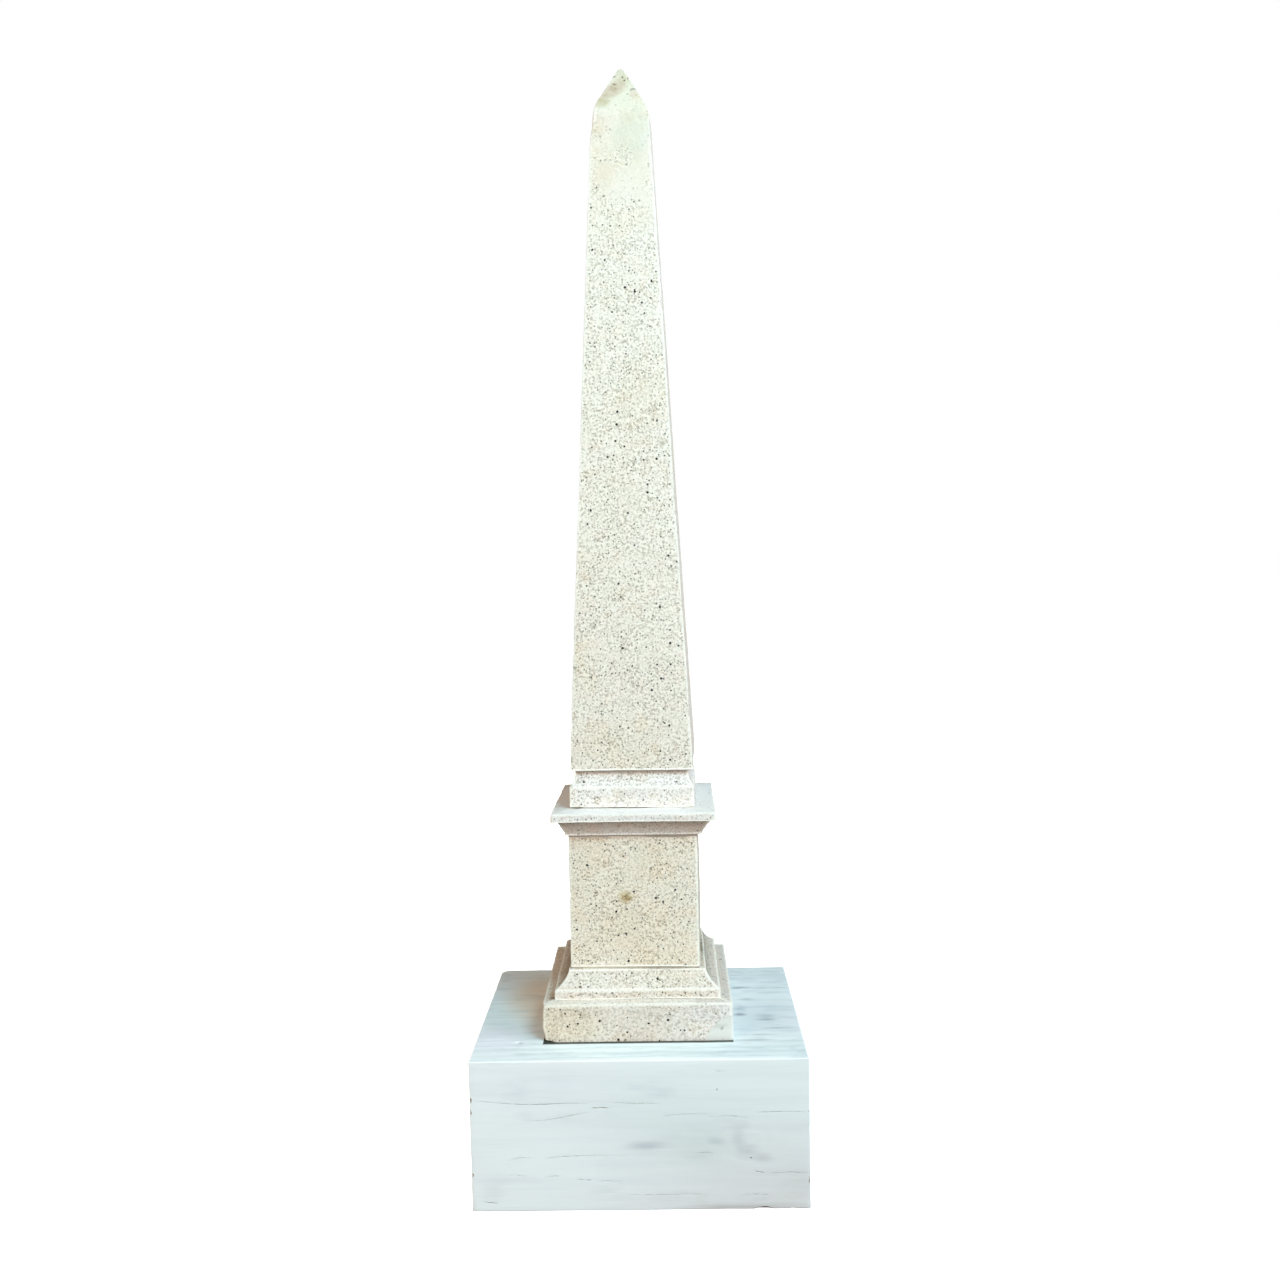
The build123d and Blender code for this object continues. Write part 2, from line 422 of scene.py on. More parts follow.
def lump(centre, size, subdivisions, waves):
    """Rough ball: its vertices and faces. A wave is (height, frequency, shift) of its noise."""
    ball = bmesh.new()
    bmesh.ops.create_icosphere(ball, subdivisions=subdivisions, radius=1.0)
    verts = []
    for vert in ball.verts:
        rough = 1 + sum(tall * noise.noise(vert.co * often + shift) for tall, often, shift in waves)
        verts.append(centre + vert.co * Vector(size) * rough)
    faces = [[vert.index for vert in face.verts] for face in ball.faces]
    ball.free()
    return verts, faces


def settle(piece):
    """Turn a piece's modifiers into plain mesh."""
    bpy.context.view_layer.update()
    evaluated = piece.evaluated_get(bpy.context.evaluated_depsgraph_get())
    mesh = bpy.data.meshes.new_from_object(evaluated)
    piece.modifiers.clear()
    piece.data = mesh


def carve(piece, shape, operation):
    """Cut a piece with a closed shape of vertices and faces, or keep only what they share."""
    cutter = mesh_piece("cutter", *shape)
    outward(cutter)
    cutter.data.materials.append(piece.data.materials[0])
    modifier = piece.modifiers.new("Carve", "BOOLEAN")
    modifier.object = cutter
    modifier.operation = operation
    modifier.solver = "MANIFOLD"
    settle(piece)
    bpy.data.objects.remove(cutter)
    piece.data.set_sharp_from_angle(angle=CUT_ANGLE)


def outward(piece):
    """Make a closed mesh's faces point outwards."""
    mesh = bmesh.new()
    mesh.from_mesh(piece.data)
    bmesh.ops.recalc_face_normals(mesh, faces=mesh.faces)
    mesh.to_mesh(piece.data)
    mesh.free()


def cut_relief(piece, name, layers, stretch, values):
    """Run a relief tree on a piece, its values found by each socket's identifier."""
    modifier = piece.modifiers.new("Relief", "NODES")
    tree = bpy.data.node_groups.get(name) or relief_tree(name, layers, stretch)
    modifier.node_group = tree
    for item in tree.interface.items_tree:
        if item.item_type == "SOCKET" and item.in_out == "INPUT" and item.name in values:
            modifier[item.identifier] = values[item.name]
    settle(piece)


def hand_finish(piece, material, **changes):
    """Give a stone its waves, rubbing marks, chips and material. Changes are in millimetres."""
    stone = bpy.context.scene.obelisk_stone
    values = {
        "Wave Depth": stone.wave_depth, "Wave Size": 70 * MM,
        "Tool Depth": stone.tool_depth, "Tool Size": 7 * MM,
        "Chip Depth": stone.chip_depth, "Chip Size": 9 * MM,
        "Seed": stone.seed, "Material": material}
    for label, size in changes.items():
        values[label.replace("_", " ").title()] = size * MM
    cut_relief(piece, "hand_cut_stone", STONE_LAYERS, 1.0, values)


def stand_for(piece, node):
    """Tie a finished piece to the frame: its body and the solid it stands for."""
    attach(piece, "root")
    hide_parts(node)


def box_mm(node):
    """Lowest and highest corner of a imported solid, in millimetres."""
    low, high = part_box(node)
    return low / MM, high / MM


def square_half(node, turn=0.0):
    """Half width of a square solid that's turned by so many degrees."""
    low, high = box_mm(node)
    angle = math.radians(abs(turn))
    return (high.x - low.x) / 2 / (math.cos(angle) + math.sin(angle))


def bed_centre(node):
    """Where the obelisk's axis meets the underside of a solid."""
    low, high = box_mm("plinth")
    return Vector(((low.x + high.x) / 2, (low.y + high.y) / 2, box_mm(node)[0].z))


def height_of(node):
    """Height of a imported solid."""
    low, high = box_mm(node)
    return high.z - low.z


def lay_stone(name, node, outline, turn, corner_radius, material, knocks=(),
              slot="speckled_stone", **changes):
    """Build a stone from its outline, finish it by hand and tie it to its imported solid."""
    piece = square_stone(name, outline, bed_centre(node), turn, corner_radius, knocks)
    hand_finish(piece, material, **changes)
    stand_for(piece, node)


def seat(half):
    """Corners under a stone whose outer lip hangs into the joint below it."""
    start, end = SEAT_SLOPE
    return (half - BED_SINK, 0, 0), (half - start, 0, 0), (half - end, -SEAT_DROP, 0)


# ---------------------------------------------------------------- timber mesh

# Knots, seen on the front face and on the top: centre, size along X, Y and Z, and by how
# much each one swells the rings round it
KNOTS = (
    ((98, -123.5, 61.6), (20, 30, 13), 26.0),
    ((5.5, -123.5, 59.5), (20, 20, 4), 7.0),
    ((67, -123.5, 64), (9, 12, 5), 6.0),
    ((108, -19, 138.3), (26, 9, 16), 12.0),
    ((-70, 123, 80), (18, 30, 12), 20.0),
)

# Drying checks: the face they open on, a route of two coordinates on it (X and Z on the
# front and back, Y and Z on the ends, X and Y on top) and the greatest width
CHECKS = (
    ("front", ((-153, 102.7), (-124.1, 100.2), (-97.2, 98.8), (-65.3, 99.3), (-34.4, 99.2)), 0.75),
    ("front", ((-29.4, 99.6), (-13.5, 99.3), (2.4, 98.6), (22.4, 97.7)), 0.55),
    ("front", ((-110.1, 83.6), (-84.2, 84.2), (-55.3, 89.4), (-44.4, 91.6)), 0.5),
    ("front", ((-44.4, 94.1), (-35.4, 95), (-25.5, 94.7)), 1.1),
    ("front", ((18.4, 87), (35.3, 88), (50.3, 88.7), (66.2, 88.5)), 0.55),
    ("front", ((60.2, 86.2), (80.2, 86.2), (98.1, 83.9)), 0.5),
    ("front", ((102.1, 89.1), (125, 89.7), (153, 88.8)), 0.7),
    ("front", ((-121, 46.8), (-107.1, 49.5), (-89.2, 49.3)), 0.4),
    ("front", ((-87.2, 48.9), (-71.3, 50.5), (-49.4, 51.2), (-8.5, 50.9)), 0.6),
    ("front", ((-120, 33.2), (-110.1, 33.7), (-98.1, 31.9)), 0.55),
    ("front", ((-87.2, 31.5), (-78.2, 32.4), (-69.3, 32.5)), 0.65),
    ("front", ((-59.3, 29.7), (-47.4, 28.3), (-43.4, 28)), 0.95),
    ("front", ((-42.4, 27.7), (-27.5, 27.5), (-13.5, 26.9)), 0.4),
    ("front", ((101, 35.8), (105.9, 34.3), (110.9, 33.3)), 0.95),
    ("front", ((111.9, 33.4), (129.8, 33.8), (153, 32.9)), 0.45),
    ("front", ((67.3, 126.8), (72.3, 127.4), (78.2, 127.2)), 0.5),
    ("front", ((47.2, 52.1), (58.2, 52.6), (66.1, 51.9)), 0.45),
    ("front", ((-29.5, 15.6), (6.4, 14.3), (41.2, 14.9), (63.1, 13.7)), 0.4),
    ("front", ((84, 13.3), (103.9, 14.1), (118.8, 12.6)), 0.5),
    ("front", ((-143.9, 10.1), (-136.9, 8.3), (-127, 7.7)), 0.8),
    ("back", ((-153, 92), (-110, 88), (-70, 90), (-22, 86)), 0.8),
    ("back", ((20, 60), (66, 63), (112, 58), (153, 60)), 0.7),
    ("back", ((-118, 34), (-60, 30), (-10, 33)), 0.5),
    ("left", ((52, 40), (20, 60), (-10, 82), (-38, 99)), 1.1),
    ("left", ((62, 34), (84, 54), (110, 70)), 0.8),
    ("left", ((46, 28), (20, 14), (-6, 8)), 0.7),
    ("right", ((48, 42), (26, 70), (12, 104), (6, 139)), 1.2),
    ("right", ((42, 30), (4, 22), (-40, 24), (-78, 30)), 0.9),
    ("right", ((60, 38), (90, 56), (125, 60)), 0.8),
    ("top", ((101.5, 117.1), (125.7, 114.9), (153, 115.8)), 0.6),
    ("top", ((-153, -78.7), (-129.3, -77.8), (-107.3, -79.9)), 0.5),
)

# Knocked-off bits: centre and size along X, Y and Z
CHIPS = (
    ((-152, -123.6, 102.5), (2.7, 2.6, 3.3)),
    ((-152, -123.6, 92.2), (2.5, 2.5, 2.6)),
    ((-151.9, -123.6, 34.1), (2.8, 3.0, 2.3)),
    ((-151.8, -123.4, 113.4), (0.9, 1.5, 1.2)),
    ((151.9, -123.6, 89.4), (2.5, 2.6, 1.5)),
    ((152, -123.6, 26.2), (2.6, 2.6, 4.8)),
    ((110.3, -123.6, -0.4), (9.5, 3.0, 2.9)),
    ((136.7, -123.8, -0.6), (8.0, 2.2, 2.2)),
    ((-112, -79, 138.5), (2.6, 1.7, 1.2)),
    ((69.1, -123.2, 110.7), (0.7, 1.0, 0.7)),
    ((98.5, -123.3, 47.7), (0.8, 1.1, 0.7)),
    ((-60, 124.6, 138.5), (7.0, 2.2, 1.8)),
    ((152, 60, 138.6), (2.0, 6.0, 1.8)),
    ((-152, 20, 0), (2.2, 7.0, 2.4)),
)


def rings_at(place):
    """Growth rings counted out from the pith, bent by slow drift and swollen by knots."""
    drift = 9 * noise.noise(Vector((place.x / 230, place.y / 90, place.z / 90)))
    drift += 2.2 * noise.noise(Vector((place.x / 60, place.y / 22, place.z / 22)))
    radius = math.hypot(place.y - PITH[0], place.z - PITH[1]) + drift
    for centre, size, swell in KNOTS:
        off = place - Vector(centre)
        share = sum((off[i] / size[i]) ** 2 for i in range(3))
        radius += swell * math.exp(-share)
    return radius / RING_WIDTH


def stops(low, high, step, low_radius, high_radius):
    """Places along one axis: close together where the ends are rounded, then even."""
    angles = [math.radians(angle) for angle in (45, 33.75, 22.5, 11.25)]
    start = [low + low_radius * (1 - math.tan(a)) for a in angles]
    end = [high - high_radius * (1 - math.tan(a)) for a in reversed(angles)]
    inner_low, inner_high = low + low_radius, high - high_radius
    pieces = round((inner_high - inner_low) / step)
    middle = [inner_low + (inner_high - inner_low) * i / pieces for i in range(pieces + 1)]
    return start + middle + end


def ruled_box(lines):
    """Closed box whose six faces are ruled by the stops along X, Y and Z: vertices and faces."""
    index, verts, faces = {}, [], []
    quad = ((0, 0), (1, 0), (1, 1), (0, 1))
    for first, second, third in ((0, 1, 2), (0, 2, 1), (1, 2, 0)):
        ends = (0, len(lines[third]) - 1)
        sides = list(zip(ends if third == 1 else ends[::-1], (quad, quad[::-1])))
        for i in range(len(lines[first]) - 1):
            for j in range(len(lines[second]) - 1):
                for end, corners in sides:
                    face = []
                    for more_i, more_j in corners:
                        at = [end] * 3
                        at[first], at[second] = i + more_i, j + more_j
                        if tuple(at) not in index:
                            index[tuple(at)] = len(verts)
                            verts.append(Vector([line[k] for line, k in zip(lines, at)]))
                        face.append(index[tuple(at)])
                    faces.append(face)
    return verts, faces


def round_off(vert, low, high):
    """Round a box's edges at one vertex: returns its new place and its outward direction.

    The back left upright corner is knocked rounder than the others, most of all at its top.
    """
    rise = vert.z - low.z
    arris = BLOCK_FOOT_ARRIS + (BLOCK_ARRIS - BLOCK_FOOT_ARRIS) * min(1.0, rise / FOOT_RISE)
    worn = arris
    if vert.x < 0 < vert.y:
        share = (rise - CORNER_WEAR_FOOT) / (high.z - low.z - CORNER_WEAR_FOOT)
        worn += CORNER_WEAR * min(1.0, max(0.0, share)) ** 1.5
    inner = Vector((
        min(max(vert.x, low.x + arris), high.x - arris),
        min(max(vert.y, low.y + arris), high.y - arris),
        min(max(vert.z, low.z + arris), high.z - arris)))
    outward = (vert - inner).normalized()
    place = inner + outward * arris
    corner = Vector((low.x + worn, high.y - worn))
    off = Vector((place.x, place.y)) - corner
    if worn > arris and off.x < 0 < off.y and off.length > worn:
        pulled = corner + off.normalized() * worn
        place = Vector((pulled.x, pulled.y, place.z))
    return place, outward


def on_face(face, route, low, high):
    """Points on a face of the block from a route of two coordinates, and the face's normal."""
    axis, side = {
        "front": (1, -1), "back": (1, 1), "left": (0, -1), "right": (0, 1), "top": (2, 1)}[face]
    points = []
    for pair in route:
        place = list(pair)
        place.insert(axis, (high if side > 0 else low)[axis])
        points.append(Vector(place))
    normal = Vector((0, 0, 0))
    normal[axis] = side
    return points, normal


def smooth_route(points, per_span=7):
    """Catmull-Rom curve through a few points."""
    ends = [points[0] * 2 - points[1]] + list(points) + [points[-1] * 2 - points[-2]]
    route = []
    for a, b, c, d in zip(ends, ends[1:], ends[2:], ends[3:]):
        for i in range(per_span):
            t = i / per_span
            route.append(0.5 * ((2 * b) + (c - a) * t + (2 * a - 5 * b + 4 * c - d) * t ** 2
                                + (3 * b - a - 3 * c + d) * t ** 3))
    return route + [points[-1]]


def check_wedge(points, normal, width, depth):
    """Closed thin wedge along a wandering drying check, with its sloping side below."""
    route = smooth_route(points)
    verts, faces = [], []
    for i, point in enumerate(route):
        ahead = route[min(i + 1, len(route) - 1)] - route[max(i - 1, 0)]
        across = ahead.cross(normal).normalized()
        if across.z < 0 or (across.z == 0 and across.y < 0):
            across = -across
        taper = 0.25 + 0.75 * math.sin(math.pi * (i + 0.5) / len(route)) ** 0.6
        uneven = 1 + 0.8 * noise.noise(point * 0.21)
        half = width * taper * uneven / 2
        wander = 0.45 * noise.noise(point * 0.11) + 0.4 * noise.noise(point * 0.37)
        point = point + across * wander
        deep = -normal * depth * taper
        verts += [point + normal + across * half * 1.1, point + normal - across * half * 2.4,
                  point + deep + across * half * 0.35, point + deep + across * half * 0.6]
    for i in range(len(route) - 1):
        for side in range(4):
            a, b = 4 * i + side, 4 * i + (side + 1) % 4
            faces.append((a, b, b + 4, a + 4))
    last = 4 * (len(route) - 1)
    faces += [(3, 2, 1, 0), (last, last + 1, last + 2, last + 3)]
    return verts, faces


# ---------------------------------------------------------------- materials

# Levels above the floor between which the stones' looks change, in millimetres
PLINTH_TOP = (172, 175)
SPARSE_TOP = (170, 178)
HOLLOW_TOP = (183, 197)
DIE_FOOT = (198.0, 198.4)
CORNICE_FOOT = (323, 325)
CORONA_HEAD = (347, 350)
SOCLE_HEAD = (379.0, 384.2)
SOCLE_END = (384.3, 384.34)
SHAFT_FOOT = (384.2, 384.4)
CAP_FOOT = (950, 975)


def span(place, low, high, start=0.0, end=1.0):
    """A limit for share() on a place whose low and high are given in millimetres."""
    return place, low * MM, high * MM, start, end


class Finish:
    """A material under way: its tree, its shader and the colour laid on so far.

    Coordinates are the object's own. Sizes and centres are in millimetres.
    """

    def __init__(self, name, ground):
        self.material, self.tree, self.shader = new_material(name)
        self.coords = add(self.tree, "ShaderNodeTexCoord").outputs["Object"]
        self.colour = tone(ground)

    def share(self, *limits):
        """How much of something shows: the product of its limits.

        A limit is a number, a node, a socket, or (value, low, high, start, end), which eases
        from start at low to end at high and is held beyond them. They're 0 and 1 if left out.
        """
        product = None
        for limit in limits:
            if isinstance(limit, tuple):
                limit = add(self.tree, "ShaderNodeMapRange", *(*limit, 0.0, 1.0)[:5],
                            interpolation_type="SMOOTHSTEP")
            product = limit if product is None else add(
                self.tree, "ShaderNodeMath", product, limit, operation="MULTIPLY")
        return product

    def paint(self, tint, *limits, how="MIX"):
        """Lay a tint over the colour as far as the limits let it show."""
        self.colour = add(self.tree, "ShaderNodeMix", self.share(*limits), self.colour, tone(tint),
                          data_type="RGBA", blend_type=how)

    def stain(self, tint, *limits):
        """Multiply the colour by a tint as far as the limits let it show."""
        self.paint(tint, *limits, how="MULTIPLY")

    def spot(self, where, centre, size, inner=0.0):
        """Soft patch: 1 inside, 0 at its edge."""
        centre, size = Vector(centre) * MM, Vector(size) * MM
        off = add(self.tree, "ShaderNodeVectorMath", where, centre, operation="SUBTRACT")
        off = add(self.tree, "ShaderNodeVectorMath", off, size, operation="DIVIDE")
        length = add(self.tree, "ShaderNodeVectorMath", off, operation="LENGTH")
        return self.share((length.outputs["Value"], 1.0, inner, 0.0, 1.0))

    def mark(self, where, inner, marks, how="MIX"):
        """Lay on soft marks, each with its centre, size, tint and limits."""
        for centre, size, tint, *limits in marks:
            self.paint(tint, self.spot(where, centre, size, inner), *limits, how=how)

    def shaken(self, size, reach, field=None):
        """Coordinates pushed about, so that what is drawn on them has ragged edges.

        The field is where the noise is read, when it should run along the grain.
        """
        rough = add(self.tree, "ShaderNodeTexNoise", inputs={
            "Vector": field or self.coords, "Scale": 1 / (size * MM), "Detail": 2.0})
        shake = add(self.tree, "ShaderNodeVectorMath", rough.outputs["Color"], (0.5, 0.5, 0.5),
                    operation="SUBTRACT")
        push = add(self.tree, "ShaderNodeVectorMath", shake, reach * MM, operation="SCALE")
        return add(self.tree, "ShaderNodeVectorMath", self.coords, push, operation="ADD")

    def flecks(self, where, spacing, held, smallest, largest):
        """Mineral grains: a mask of rough dots and a random value for each dot.

        Held is the share of cells, a spacing apart, that hold one.
        """
        cells = add(self.tree, "ShaderNodeTexVoronoi", inputs={
            "Vector": where, "Scale": 1 / (spacing * MM)})
        parts = add(self.tree, "ShaderNodeSeparateColor", cells.outputs["Color"])
        radius = add(self.tree, "ShaderNodeMapRange", parts.outputs["Red"], 1 - held, 1.0,
                     smallest / spacing, largest / spacing)
        holds = add(
            self.tree, "ShaderNodeMath", parts.outputs["Red"], 1 - held, operation="GREATER_THAN")
        dot = (cells.outputs["Distance"], radius, self.share(radius, 0.6), 0.0, 1.0)
        return self.share(dot, holds), parts.outputs["Green"]

    def outside(self, low, high):
        """How far each place lies outside a box along X and Y: less than 0 within it."""
        middle, reach = (low + high) / 2 * MM, (high - low) / 2 * MM
        off = add(self.tree, "ShaderNodeVectorMath", self.coords, middle, operation="SUBTRACT")
        off = add(self.tree, "ShaderNodeVectorMath", off, operation="ABSOLUTE")
        off = add(self.tree, "ShaderNodeVectorMath", off, reach, operation="SUBTRACT")
        return add(self.tree, "ShaderNodeSeparateXYZ", off).outputs[:2]

    def close(self, height, strength, depth, looks):
        """Give the shader its colour, its bump of so many millimetres and its other looks."""
        bump = add(self.tree, "ShaderNodeBump", inputs={
            "Strength": strength, "Distance": depth * MM, "Height": height})
        feed(self.tree, self.shader, {
            "Base Color": self.colour, "Normal": bump.outputs["Normal"], **looks})
        return self.material


def speckled_stone(name, ground, rain_and_top_light, darker_below, side_shade, stains):
    """Fine-grained pale granite, sawn and rubbed by hand.

    Gives the eye a cream ground with crystal mottling, dense small grey flecks and scattered
    black ones, fewer flecks where rainwater has washed the top, whiter ledges that are partly
    bleached by rainwater and partly painted light, painted shade on the undersides, on the sides
    and in the angles, arrises painted paler as wear and as painted highlight, and a matt,
    slightly gritty face.
    """
    coat = Finish(name, ground)
    tree, coords = coat.tree, coat.coords
    fleck_size = bpy.context.scene.obelisk_stone.fleck_size / MM
    x, y, level = add(tree, "ShaderNodeSeparateXYZ", coords).outputs
    normal = add(tree, "ShaderNodeNewGeometry").outputs["Normal"]
    right, _, up = add(tree, "ShaderNodeSeparateXYZ", normal).outputs
    arris, lip = (add(tree, "ShaderNodeAttribute", attribute_name=label).outputs["Fac"]
                  for label in ("arris", "lip"))
    cloud, tinge, crystals, drift, edge, grit = (
        add(tree, "ShaderNodeTexNoise", inputs={
            "Vector": where, "Scale": 1 / (size * MM), "Detail": detail})
        for where, size, detail in (
            (coords, 60, 3.0), (coords, 15, 2.0), (coat.shaken(1.4, 1.6), 2.0, 2.0),
            (coords, 22, 2.0), (coords, 26, 3.0), (coords, 0.9, 3.0)))

    # Slow change from cleaner to warmer stone, over about 60 mm, and pinker or greener feldspar
    coat.stain((0.95, 0.90, 0.80), (cloud, 0.42, 0.66, 0.0, 0.5))
    coat.stain((1.0, 0.975, 0.95), (tinge, 0.50, 0.68))
    coat.stain((0.975, 0.99, 0.97), (tinge, 0.50, 0.34))

    # How thick the dark flecks lie changes from place to place. They're faint near the top, and
    # sparser on the cornice, which rain has scoured, and on the plinth
    lean = add(tree, "ShaderNodeVectorMath", coords, (1.5, 0.0, 2.2), operation="DOT_PRODUCT")
    bare = add(tree, "ShaderNodeMath", lean.outputs["Value"], edge, operation="ADD")
    scoured = add(tree, "ShaderNodeMath", coat.share(span(level, *CORNICE_FOOT, 1.0, 0.55)),
                  coat.share(span(level, *CORONA_HEAD)), operation="MAXIMUM")
    washed = coat.share((level, 0.78, 1.0, 1.0, 0.7), (bare, 2.46, 2.64, 1.0, 0.15),
                        scoured, span(level, *SPARSE_TOP, 0.8, 1.0))
    thick = coat.share((drift, 0.35, 0.58, 0.6, 1.0), washed)

    # Crystals of about 2 mm, some milky and some glassy, and the dark flecks among them
    coat.paint("#FFFCF0", (crystals, 0.34, 0.50, 0.45, 0.0), (washed, 0.2, 0.9, 0.35, 1.0))
    coat.stain((0.53, 0.505, 0.45), (crystals, 0.50, 0.66, 0.0, 0.9), thick)
    dotted = coat.shaken(1.1, 0.7)
    grey, shade = coat.flecks(dotted, fleck_size, 0.62, 0.42, 0.95)
    coat.paint("#3E372B", grey, (shade, 0.0, 1.0, 0.35, 1.0), thick)
    for spacing, smallest, largest, tint in (
            (4.8, 0.6, 1.05, "#2B251C"), (9.0, 0.95, 1.6, "#100E0B")):
        dark, _ = coat.flecks(dotted, spacing, 0.7, smallest, largest)
        coat.paint(tint, dark, (washed, 0.1, 0.8, 0.35, 1.0))

    # The stone below the given level is darker and a little bluer
    coat.stain((0.88, 0.88, 0.92), span(level, darker_below - 2, darker_below + 1, 1.0, 0.0))
    # Up-facing faces whitened, partly bleached by rainwater and partly as painted light from above
    coat.paint("#FFF4E8", (up, 0.72, 0.97, 0.0, rain_and_top_light))
    # Painted shade on the faces that point down, darkest on the soffits
    coat.stain((0.80, 0.68, 0.60), (up, -0.2, -0.7, 0.0, 0.65))
    coat.stain((0.70, 0.58, 0.48), (up, -0.85, -1.0))
    # The cornice and the socle are cut from bluer stone, and the plinth has bleached on its right
    coat.stain((0.98, 1.01, 1.09), span(level, *CORNICE_FOOT), span(level, *SHAFT_FOOT, 1.0, 0.0))
    coat.stain((0.98, 1.02, 1.09), span(x, 5, 70), span(level, *PLINTH_TOP, 1.0, 0.0))
    # Painted shade in the angle where the die's sides meet the hollow; the ledges beside it are
    # painted darker and browner
    below_die = coat.share(span(level, *DIE_FOOT, 1.0, 0.0))
    for side, front, pocket, ledge in (
            (1, -99, (0.66, 0.69, 0.67), (0.88, 0.84, 0.81)),
            (-1, -71, (0.74, 0.64, 0.60), (0.90, 0.82, 0.76))):
        coat.stain(pocket, (right, side * 0.2, side * 0.6, 0.0, 0.9),
                   span(level, *HOLLOW_TOP), below_die)
        coat.stain(ledge, (up, 0.7, 0.95), below_die,
                   span(x, side * 50, side * 54), span(y, front, front + 4))
    # Painted shade on the faces turned to the left and to the right, each by its own tint
    for side, tint in zip((-1, 1), side_shade):
        coat.stain(tint, (right, side * 0.35, side * 0.85))
    # Painted shadow on the neck's top, under the shaft's overhanging foot
    coat.stain((0.45, 0.42, 0.38), span(level, *SOCLE_HEAD, 0.0, 0.75),
               span(level, *SOCLE_END, 1.0, 0.0))

    # Arrises painted paler, partly rubbed wear and partly painted highlight; thin bright lips at
    # the joints, which are painted highlight; and stains
    coat.paint("#F8F5EA", (arris, 0.6, 1.0, 0.0, 0.6), span(level, *CAP_FOOT, 1.0, 0.0))
    coat.paint("#FFF9EE", (lip, 0.0, 0.8, 0.0, 0.9))
    coat.mark(coat.shaken(5, 6), 0.35, stains, "MULTIPLY")
    pitted = add(tree, "ShaderNodeMath", grit, coat.share(grey, 0.6), operation="SUBTRACT")
    return coat.close(pitted, 0.35, 0.25, {
        "Roughness": coat.share((crystals, 0.3, 0.7, 0.62, 0.8)),
        "IOR": 1.54, "Specular IOR Level": 0.35})


def lime_filler():
    """Fine lime and stone-dust filler, struck off smooth.

    Gives the eye a flat pale patch with hardly a fleck in it and two faint smudges.
    """
    coat = Finish("lime_filler", "#DCDBD4")
    cloud = add(coat.tree, "ShaderNodeTexNoise", inputs={
        "Vector": coat.coords, "Scale": 1 / (9 * MM), "Detail": 3.0})
    coat.paint("#D2D2CA", cloud)
    smears, _ = coat.flecks(coat.coords, 7.0, 0.3, 0.6, 1.4)
    coat.paint("#8E958D", smears, 0.35)
    half = square_half("plinth")
    corner = bed_centre("plinth") + Vector((half, -half, 0))
    coat.mark(coat.shaken(5, 6), 0.3, [
        (corner + Vector((-12, 0, 13)), (11, 9, 3.5), "#B4B8AE", 0.5),
        (corner + Vector((-9.5, 0, 10.5)), (2.4, 9, 2.8), "#7F8177", 0.7)])
    return coat.close(cloud, 0.2, 0.2, {"Roughness": 0.6, "Specular IOR Level": 0.35})


def stained_mortar():
    """Lime mortar raked back from the face and stained by damp and soot.

    Gives the eye a thin, brownish, sandy line between two stones.
    """
    coat = Finish("stained_mortar", "#BDB19D")
    sand = add(coat.tree, "ShaderNodeTexNoise", inputs={
        "Vector": coat.coords, "Scale": 1 / (1.5 * MM), "Detail": 4.0})
    coat.paint("#D8CDBA", sand)
    return coat.close(sand, 0.6, 0.4, {"Roughness": 0.9})


# A mark is drawn wider than it's measured, because its ragged edge eats into it
MARK_SPREAD = 1.25
